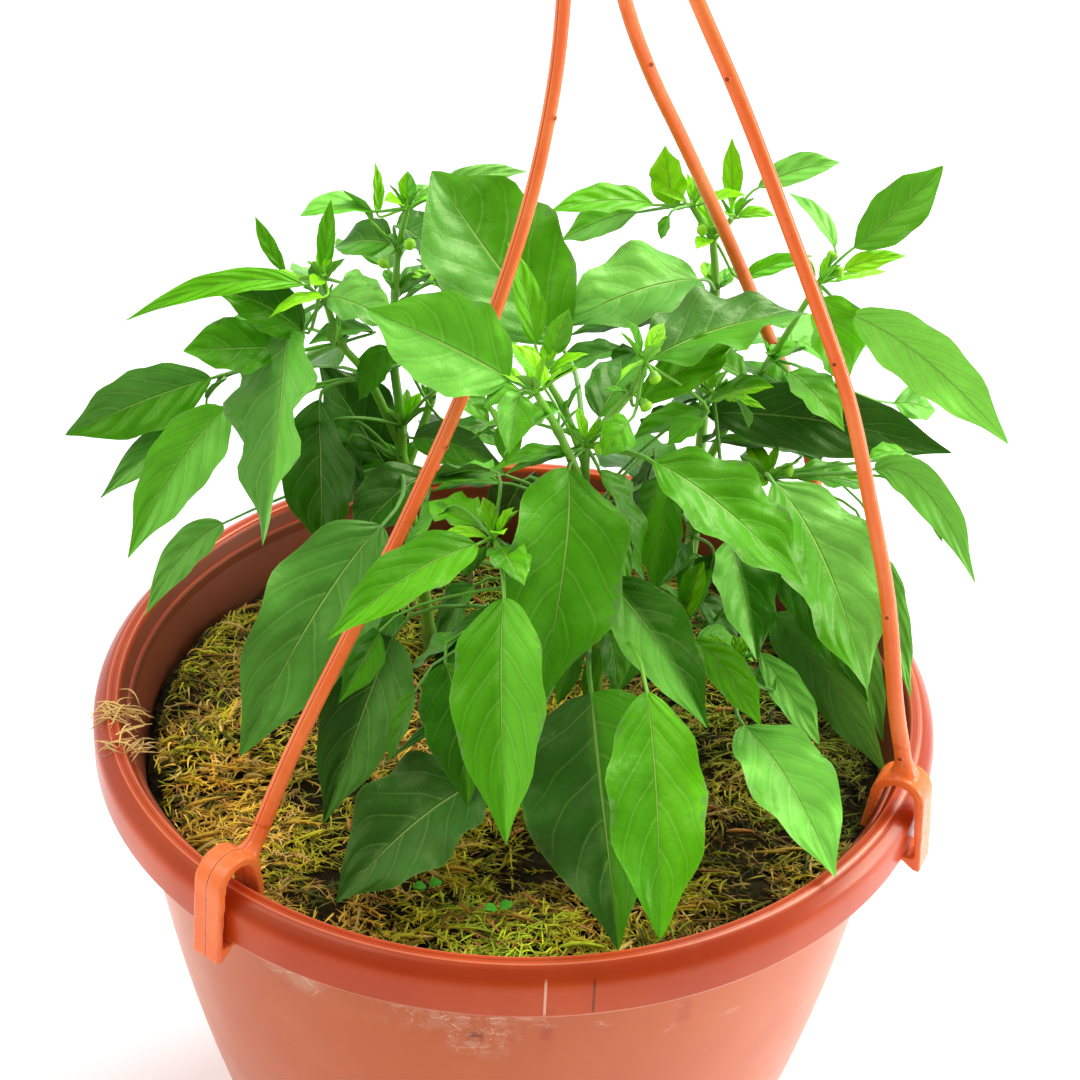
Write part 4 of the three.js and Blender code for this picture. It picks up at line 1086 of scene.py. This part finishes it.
def moulded(shell, voxel, passes):
    """The closed pieces of a shell grown together, with softly rounded edges."""
    mesh = bpy.data.meshes.new("grown")
    mesh.from_pydata(np.concatenate(shell.points).tolist(), [], shell.faces)
    body = placed("grown", mesh)
    joined = body.modifiers.new("joined", "REMESH")
    joined.mode = "VOXEL"
    joined.voxel_size = voxel
    soft = body.modifiers.new("soft", "SMOOTH")
    soft.factor = 0.5
    soft.iterations = passes
    return points_and_faces(applied(body))


def make_arm(name, azimuth, rise, pins):
    """A clip over the rim and the rod that rises from it to the hub."""
    turn = math.radians(azimuth)
    radial = np.array([math.cos(turn), math.sin(turn), 0])
    sideways = np.array([-math.sin(turn), math.cos(turn), 0])

    def place(points):
        points = np.asarray(points, float)
        return points[:, :1] * radial + (POT_HEIGHT + points[:, 1:2]) * np.array([0, 0, 1.0])

    def add_marked(points, faces):
        """Adds a mesh marked with its distance from the mould's parting line, in centimetres."""
        off_line = np.abs((points - radial * CLIP_ARCH_CENTRE) @ sideways) / 10
        arm.add(points, faces, marks=np.outer(off_line, (1, 0, 0)))

    flat = place(clip_outline())
    number = len(flat)
    faces = [tuple(range(number)), tuple(range(2 * number - 1, number - 1, -1))]
    faces += [(j, number + j, number + (j + 1) % number, (j + 1) % number) for j in range(number)]
    clip, arm, rod = Shell(), Shell(), Shell()
    half = sideways * CLIP_WIDTH / 2
    clip.add(np.concatenate([flat - half, flat + half]), faces)

    end = HUB_BOTTOM + SOCKET_DEPTH - FIT_GAP
    line = smooth_line(place([*rise, (rise[-1][0], end)]), 8)
    share = np.linspace(0, 1, len(line))
    radii = (ROD_ROOT_RADIUS + (ROD_RADIUS - ROD_ROOT_RADIUS) * np.minimum(share * 3, 1)
             + 1.8 * np.maximum(0, 1 - share / 0.06))
    add_tube(clip, line[:ROOT_POINTS], radii[:ROOT_POINTS], 20, across=sideways)
    add_marked(*moulded(clip, 0.55, 5))
    add_tube(rod, line[ROD_START:], radii[ROD_START:], 20, across=sideways)
    add_marked(rod.points[0], rod.faces)

    facing = sideways if sideways[1] < 0 else -sideways
    for pin in pins:
        near = int(np.argmin(np.abs(line[:, 2] - POT_HEIGHT - pin)))
        along = unit(line[near + 1] - line[near - 1])
        centre = line[near] + facing * (radii[near] - 0.05)
        across = unit(np.cross(facing, along))
        ring = [centre + PIN_RING_RADIUS * (math.cos(t) * across + math.sin(t) * along)
                for t in np.linspace(0, 2 * math.pi, 15)[:-1]]
        add_tube(arm, [*ring, ring[0]], 0.25, 6, marks=OFF_LINE)
        add_tube(arm, [centre - facing * 0.2, centre + facing * 0.12], 0.62, 10, marks=PIT)
    arm.build("hanger_rod_" + name, HANGER_PLASTIC, "hanger_arm_" + name, "hanger_plastic")


def make_hub():
    """A disc with a socket for each rod, and the hook that rises from it."""
    x, y = HUB_CENTRE
    bottom = POT_HEIGHT + HUB_BOTTOM
    top = bottom + HUB_THICKNESS
    profile = rounded([
        (0, 0, 0), (HUB_RADIUS, 0, 1.5), (HUB_RADIUS, 7, 2.5),
        (HUB_RADIUS - 3, HUB_THICKNESS - 2, 2), (7, HUB_THICKNESS, 3),
        (4.4, HUB_THICKNESS + 2, 2), (3.2, HUB_THICKNESS + 4, 1), (0, HUB_THICKNESS + 4, 0)])
    drill = Shell()
    for azimuth, rise, _ in ARMS.values():
        turn = math.radians(azimuth)
        end_x, end_y = rise[-1][0] * math.cos(turn), rise[-1][0] * math.sin(turn)
        add_tube(drill, [(end_x, end_y, bottom - 4), (end_x, end_y, bottom + SOCKET_DEPTH)],
                 ROD_RADIUS + FIT_GAP, 24)
    disc = turned_mesh("hub_disc", profile, 64, (x, y, bottom))
    points, faces = points_and_faces(cut_away(disc, drill))
    hub = Shell()
    hub.add(points / MM, faces, marks=OFF_LINE)
    centre = np.array([x, y, top + HOOK_NECK + HOOK_RADIUS])
    line = [(x, y, top - 2), (x, y, top + 3), (x, y, top + HOOK_NECK - 5)]
    for turn in np.radians(np.arange(250, -31, -20)):
        line.append(centre + HOOK_RADIUS * np.array([math.cos(turn), 0, math.sin(turn)]))
    line = smooth_line(line, 4)
    radii = np.full(len(line), float(HOOK_ROD_RADIUS))
    radii[-len(HOOK_TIP_RADII):] = HOOK_TIP_RADII
    add_tube(hub, line, radii, 20, marks=OFF_LINE, across=(0, 1, 0.1))
    piece = hub.build("hanger_hook", HANGER_PLASTIC, "hanger_hub", "hanger_plastic")
    piece.data.set_sharp_from_angle(angle=SHARP_EDGE)


def hanger_material():
    """Glossy orange-red plastic with the fine parting line of its mould, darkened with painted shade
    and edged with painted highlights.
    """
    g = Material("hanger_plastic")
    off_line, pit = g.marks()[:2]
    # The parting line is drawn dark as painted shade along its groove, with a painted highlight along
    # each side of it
    line = g.step(off_line, 0.034, 0.012)
    seam_highlight = g.step(off_line, 0.018, 0.03) * g.step(off_line, 0.07, 0.04)
    specks = g.step(g.noise(420, 2, 0.7), 0.72, 0.76)
    colour = g.painted(plastic_base(g, srgb(246, 108, 42), srgb(255, 136, 70), 40, 0.8), (
        (seam_highlight * 0.25, srgb(255, 168, 120)), (line * 0.75, srgb(150, 44, 10)),
        (pit * 0.8, srgb(120, 40, 12)), (specks * 0.4, srgb(140, 50, 20))))
    return g.finish(Base_Color=colour, Roughness=g.noise(80, 4) * 0.14 + 0.2,
                    bump=(g.noise(120, 3) * 0.3 - line, 0.35, 0.0004),
                    Specular_IOR_Level=0.5, Specular_Tint=(1, 0.85, 0.75))


HANGER_PLASTIC = hanger_material()
for arm_name, arm_facts in ARMS.items():
    make_arm(arm_name, *arm_facts)
make_hub()


# Soil and moss

SOIL_TOP = 185
SOIL_LOW = 3.4
SOIL_WALL_HEIGHTS = (170, 130, 90, 50, 20, 9, SOIL_LOW)
MOSS_DARK = srgb(76, 78, 20)
MOSS_BROWN = srgb(140, 98, 42)
# Tones of the moss up to a hue number: green, olive, straw and gold
MOSS_TONES = ((-0.9, srgb(132, 146, 28)), (0.8, srgb(156, 146, 30)), (1.3, srgb(172, 142, 74)),
              (math.inf, srgb(178, 142, 46)))
STRAW_PALE = srgb(246, 206, 128)
WOOD_CHIP = srgb(222, 150, 74)
SEEDLING = srgb(96, 190, 70)
MOSS_STRANDS = 5400
MOSS_SHOOTS = 6000
WOOD_CHIPS = 46
SEEDLING_PLACES = ((-25, -79), (-2, -87), (-36, -66))
# Direction and spread in degrees, and number, of the straws on the rim
TUFT_PLACES = ((-167.5, 1.6, 36), (-160, 0.8, 20))
# Radius along a strand, a shoot and a straw, as shares of the widest
STRAND_SHAPE = np.array([0.4, 1, 0.9, 0.6, 0.15])
SHOOT_SHAPE = (0.6, 1, 1, 0.8, 0.5, 0.1)
STRAW_SHAPE = np.array([0.3, 0.6, 0.85, 1, 0.9, 0.7, 0.3])


def wave_field(seed, scale, number=10):
    """A smooth random field over the soil, as a function of x and y in millimetres, about 0."""
    own = np.random.default_rng(seed)
    turns = own.uniform(0, 2 * math.pi, number)
    steps = own.uniform(0.5, 1.6, number) / scale
    starts = own.uniform(0, 2 * math.pi, number)

    def field(x, y):
        total = 0
        for turn, step, start in zip(turns, steps, starts):
            total = total + np.sin((x * math.cos(turn) + y * math.sin(turn)) * step + start)
        return total / math.sqrt(number)
    return field


bumps = wave_field(3, 5.5)
hills = wave_field(4, 16)
patches = wave_field(5, 11)
hues = wave_field(6, 13)


def soil_height(x, y):
    """Height of the soil's surface: mounds all over and a bank on the left."""
    edge = np.clip((126 - np.hypot(x, y)) / 18, 0, 1)
    mound = (2.2 * np.sin(x / 19 + 1) * np.cos(y / 23) + 1.3 * np.sin(x / 9 - y / 12)
             + 0.9 * np.cos(y / 7 + x / 15))
    left_bank = 7 * np.clip((-x - 62) / 50, 0, 1) * np.clip((y + 60) / 70, 0, 1)
    return SOIL_TOP - 2 + mound + left_bank + (0.9 * bumps(x, y) + 0.8 * hills(x, y)) * edge


def make_soil():
    """The uneven bed of soil, closed along the pot's wall and above its floor."""
    rings, sides = 60, 180
    turns = np.arange(sides) / sides * 2 * math.pi
    circle = np.stack([np.cos(turns), np.sin(turns)])
    rows = []
    for radius in np.linspace(0, inner_radius(SOIL_TOP) - 0.4, rings + 1)[1:]:
        x, y = radius * circle
        rows.append(np.stack([x, y, soil_height(x, y)], axis=1))
    for z in SOIL_WALL_HEIGHTS:
        radius = inner_radius(max(z, 9)) - 0.4 - (5 if z == SOIL_LOW else 0)
        rows.append(np.stack([*(radius * circle), np.full(sides, float(z))], axis=1))
    points = np.concatenate([*rows, [[0, 0, float(soil_height(0, 0))], [0, 0, SOIL_LOW]]])
    faces = grid_faces(len(rows), sides, closed=True, flip=True)
    top, low, last = len(rows) * sides, len(rows) * sides + 1, (len(rows) - 1) * sides
    for j in range(sides):
        k = (j + 1) % sides
        faces += [(top, j, k), (low, last + k, last + j)]
    soil = Shell()
    soil.add(points, faces)
    soil.build("soil_bed", soil_material(), "soil", "soil_mix")


def soil_material():
    """Dark crumbly potting mix."""
    g = Material("dark_potting_mix")
    clods = g.noise(70, 6, 0.7)
    colour = g.mix(g.step(clods, 0.3, 0.75), srgb(22, 18, 8), srgb(64, 52, 20))
    colour = g.mix(g.step(g.noise(160, 3), 0.58, 0.7) * 0.6, colour, srgb(92, 84, 30))
    height = g.cells(260, "F1") * 1.2 + clods
    return g.finish(Base_Color=colour, Roughness=0.95, bump=(height, 1.0, 0.002),
                    Specular_IOR_Level=0.15)


def moss_material():
    """Dry moss, chips and straw: their tone comes from the mesh."""
    g = Material("moss_strands")
    colour = g.times(g.attribute("tone"), g.noise(350, 3) * 0.9 + 0.55)
    return g.finish(Base_Color=colour, Roughness=0.8, bump=(g.noise(900, 2), 0.4, 0.0003),
                    Specular_IOR_Level=0.3)


def strand_points(start, turn, length, bend, lift, number=5):
    """The line of a strand that lies on the soil and curves."""
    line, here = [np.array(start, float)], np.array(start, float)
    for i in range(number - 1):
        turn = turn + bend / number
        share = (i + 0.5) / (number - 1)
        here = here + length / (number - 1) * unit(heading(turn, lift * (1 - 2 * share)))
        line.append(here)
    return line


def moss_tone(x, y):
    """Gold and straw on the left, greener and darker on the right."""
    hue = 1.2 * hues(x, y) + rng.normal(0, 0.6) - x / 150 - y / 220
    tone = next(tone for top, tone in MOSS_TONES if hue < top)
    if rng.uniform() < 0.22:
        tone = MOSS_DARK if rng.uniform() < 0.6 else MOSS_BROWN
    shade = (1.18 - 0.48 * max(x, 0) / 100) * (1.18 - 0.5 * y / 100)
    clump = min(max(0.85 + 0.3 * patches(x, y), 0.5), 1.15)
    return np.array(tone) * rng.uniform(0.65, 1.4) * shade * clump


def moss_place(side, clumped):
    """A place on the soil, more often on its clumps."""
    while True:
        x, y = rng.uniform(-side, side, 2)
        if math.hypot(x, y) < side and rng.uniform(-1.7, 1.0) < (patches(x, y) + 0.5) * clumped:
            return x, y


def kept_inside(line, side):
    """The line, drawn in where it reaches past the side."""
    reach = max(math.hypot(p[0], p[1]) for p in line)
    if reach < side:
        return line
    pull = (side - 2) / reach
    return [p * np.array([pull, pull, 1]) for p in line]


def add_side_hairs(moss, line, width, tone):
    """Short hairs on both sides of a strand, as on a feathery moss."""
    points, faces = [], []
    for i in range(1, len(line) - 1):
        along = unit(line[i + 1] - line[i])
        flat = unit(np.cross(along, (0, 0, 1)))
        for side in (-1, 1):
            tip = line[i] + (along * 1.6 + side * flat * 1.7) * rng.uniform(0.8, 1.5)
            tip[2] += rng.uniform(-0.2, 0.9)
            first = len(points)
            points += [line[i] - along * width * 0.5, line[i] + along * width * 0.5, tip]
            faces.append((first, first + 1, first + 2))
    moss.add(points, faces, tone)


def make_moss():
    """Strands of moss that lie on the soil, most of them feathery, and some chips of wood."""
    moss = Shell()
    side = inner_radius(SOIL_TOP) - 3
    for _ in range(MOSS_STRANDS):
        x, y = moss_place(side, 1.15)
        tone = moss_tone(x, y)
        turn = 0.9 * bumps(x / 2, y / 2) + rng.normal(0, 0.6)
        turn += math.pi if rng.uniform() < 0.5 else 0
        height = soil_height(x, y) + rng.uniform(-0.5, 2.2) + np.clip(patches(x, y), 0, 1.6) * 2.4
        bend = rng.normal(0, 0.45) if rng.uniform() < 0.85 else rng.normal(0, 2.2)
        line = strand_points((x, y, height), turn, rng.uniform(6, 17), bend, rng.normal(0.12, 0.3))
        width = rng.uniform(0.36, 1.15)
        line = kept_inside(line, side + 1)
        add_tube(moss, line, width * STRAND_SHAPE, 3, tone, squash=0.6)
        if rng.uniform() < 0.75:
            add_side_hairs(moss, line, width, tone * 1.15)
    for _ in range(WOOD_CHIPS):
        turn, radius = rng.uniform(0, 2 * math.pi), rng.uniform(30, 116)
        x, y = radius * math.cos(turn), radius * math.sin(turn)
        start = (x, y, soil_height(x, y) + 4)
        line = strand_points(start, rng.uniform(0, 6.3), rng.uniform(5, 12), 0.2, 0.15, 4)
        tone = np.array(WOOD_CHIP) * rng.uniform(0.6, 1.1)
        add_tube(moss, line, [0.5, 1.1, 1.0, 0.4], 4, tone, squash=0.5)
    moss.build("moss_strands", MOSS, "soil", "soil_mix")


def make_fluff():
    """Curled flat shoots of moss that stand out of the clumps, and small seedlings."""
    fluff = Shell()
    side = inner_radius(SOIL_TOP) - 3
    number = len(SHOOT_SHAPE)
    for _ in range(MOSS_SHOOTS):
        x, y = moss_place(side, 2.0)
        tone = moss_tone(x, y) * 1.15
        height = soil_height(x, y) + 1.5 + np.clip(patches(x, y), 0, 1.6) * 2.8
        line = strand_points((x, y, height), rng.uniform(0, 6.3), rng.uniform(4, 9),
                             rng.normal(0, 1.0), rng.normal(0.4, 0.35), number)
        line = kept_inside(line, side + 1)
        width = rng.uniform(0.18, 0.42)
        points = []
        for i, share in enumerate(SHOOT_SHAPE):
            along = unit(line[min(i + 1, number - 1)] - line[max(i - 1, 0)])
            across = unit(np.cross(along, (0.3, 0.2, 1))) * width * share
            points += [line[i] - across, line[i] + across]
        fluff.add(points, grid_faces(number, 2), tone)
    for x, y in SEEDLING_PLACES:
        foot = np.array([x, y, soil_height(x, y) + 5.5])
        for turn in (0.4, 3.5):
            way = heading(turn, 0.15)
            midrib = Midrib(foot + way * 0.5, foot + way * 5, 0.6, 0)
            add_blade(fluff, midrib, 4.2, SEEDLING, SEEDLING)
    fluff.build("moss_shoots", MOSS, "soil", "soil_mix")


def make_tufts():
    """Short pieces of straw that lie across the rim at two places on the left."""
    tufts = Shell()
    for azimuth, spread, number in TUFT_PLACES:
        for _ in range(number):
            turn = math.radians(azimuth + rng.normal(0, spread))
            way = heading(turn + rng.uniform(-1.2, 1.2))
            radius = rng.uniform(127.5, 139.5)
            fall = 1.1 * max(131.5 - radius, 0) + max(radius - LIP_RADIUS, 0)
            height = POT_HEIGHT + rng.uniform(0.3, 2) - fall
            middle = heading(turn) * radius + np.array([0, 0, height])
            length = rng.uniform(5, 15)
            bend = rng.normal(0, 1.0, 3)
            line = []
            for share in np.linspace(-0.5, 0.5, len(STRAW_SHAPE)):
                droop = np.array([0, 0, 0.045 * (share * length) ** 2])
                bow = bend * math.cos(math.pi * share)
                line.append(middle + way * share * length - droop + bow)
            tone = np.array(STRAW_PALE) * rng.uniform(0.6, 1.15)
            add_tube(tufts, line, STRAW_SHAPE * rng.uniform(0.25, 0.42), 4, tone)
    tufts.build("straw_tufts", MOSS, "soil", "soil_mix")


MOSS = moss_material()
make_soil()
make_moss()
make_fluff()
make_tufts()


# Floor, light and camera

FLOOR_HALF = 6
WORLD_FRONT = 0.3
WORLD_BACK = 1.06
# name: place and diameter in metres, and power in watts
LAMPS = {
    "key": ((0.75, 0.75, 1.45), 0.9, 27),
    "fill": ((-0.9, -0.4, 1.6), 1.2, 10),
    "side": ((1.4, 0.1, 0.45), 0.6, 10),
}
LAMP_TARGET = Vector((0, 0, 0.25))
FOCAL_PIXELS = 2300
PHOTO_PIXELS = 1080
SENSOR = 36
CAMERA_PLACE = (0.0061, -0.6262, 0.6942)
CAMERA_PITCH = math.radians(34)
CAMERA_ROLL = math.radians(2.5)


def make_floor():
    """A wide pale floor just under the pot."""
    mesh = bpy.data.meshes.new("floor")
    corners = [(x * FLOOR_HALF, y * FLOOR_HALF, 0) for x, y in ((-1, -1), (1, -1), (1, 1), (-1, 1))]
    mesh.from_pydata(corners, [], [(0, 1, 2, 3)])
    pale = Material("pale_floor").finish(Base_Color=(0.97, 0.97, 0.97), Roughness=0.9)
    mesh.materials.append(pale)
    floor = placed("floor", mesh)
    floor.location.z = -0.0002


def make_lights():
    """A bright room behind and beside the plant, dimmer behind the camera, and three soft lamps."""
    world = bpy.data.worlds.new("studio")
    world.use_nodes = True
    g = Graph(world.node_tree)
    background = g.tree.nodes["Background"]
    background.inputs["Color"].default_value = (1, 1, 1, 1)
    x, y, _ = g.parts(g.value("Generated", "TexCoord"))
    bright = g.step(abs(x) * 0.35 + y, -0.7, 0.5)
    g.give(background.inputs["Strength"], bright * (WORLD_BACK - WORLD_FRONT) + WORLD_FRONT)
    bpy.context.scene.world = world
    for name, (place, size, power) in LAMPS.items():
        light = bpy.data.lights.new(name, "AREA")
        light.shape = "DISK"
        light.size = size
        light.energy = power
        lamp = placed(name, light)
        lamp.location = place
        lamp.rotation_euler = (LAMP_TARGET - Vector(place)).to_track_quat("-Z", "Y").to_euler()


def make_camera():
    """The photograph's view: tilted down, and turned a little about its own axis."""
    forward = Vector((0, math.cos(CAMERA_PITCH), -math.sin(CAMERA_PITCH)))
    level, rise = Vector((1, 0, 0)), Vector((0, math.sin(CAMERA_PITCH), math.cos(CAMERA_PITCH)))
    right = math.cos(CAMERA_ROLL) * level + math.sin(CAMERA_ROLL) * rise
    up = math.cos(CAMERA_ROLL) * rise - math.sin(CAMERA_ROLL) * level
    data = bpy.data.cameras.new("camera")
    data.sensor_width = SENSOR
    data.lens = FOCAL_PIXELS / PHOTO_PIXELS * SENSOR
    data.clip_end = 50
    camera = placed("camera", data)
    camera.matrix_world = Matrix([*zip(right, up, -forward, CAMERA_PLACE), (0, 0, 0, 1)])
    bpy.context.scene.camera = camera


make_floor()
make_lights()
make_camera()
bpy.context.scene.view_settings.view_transform = "Standard"
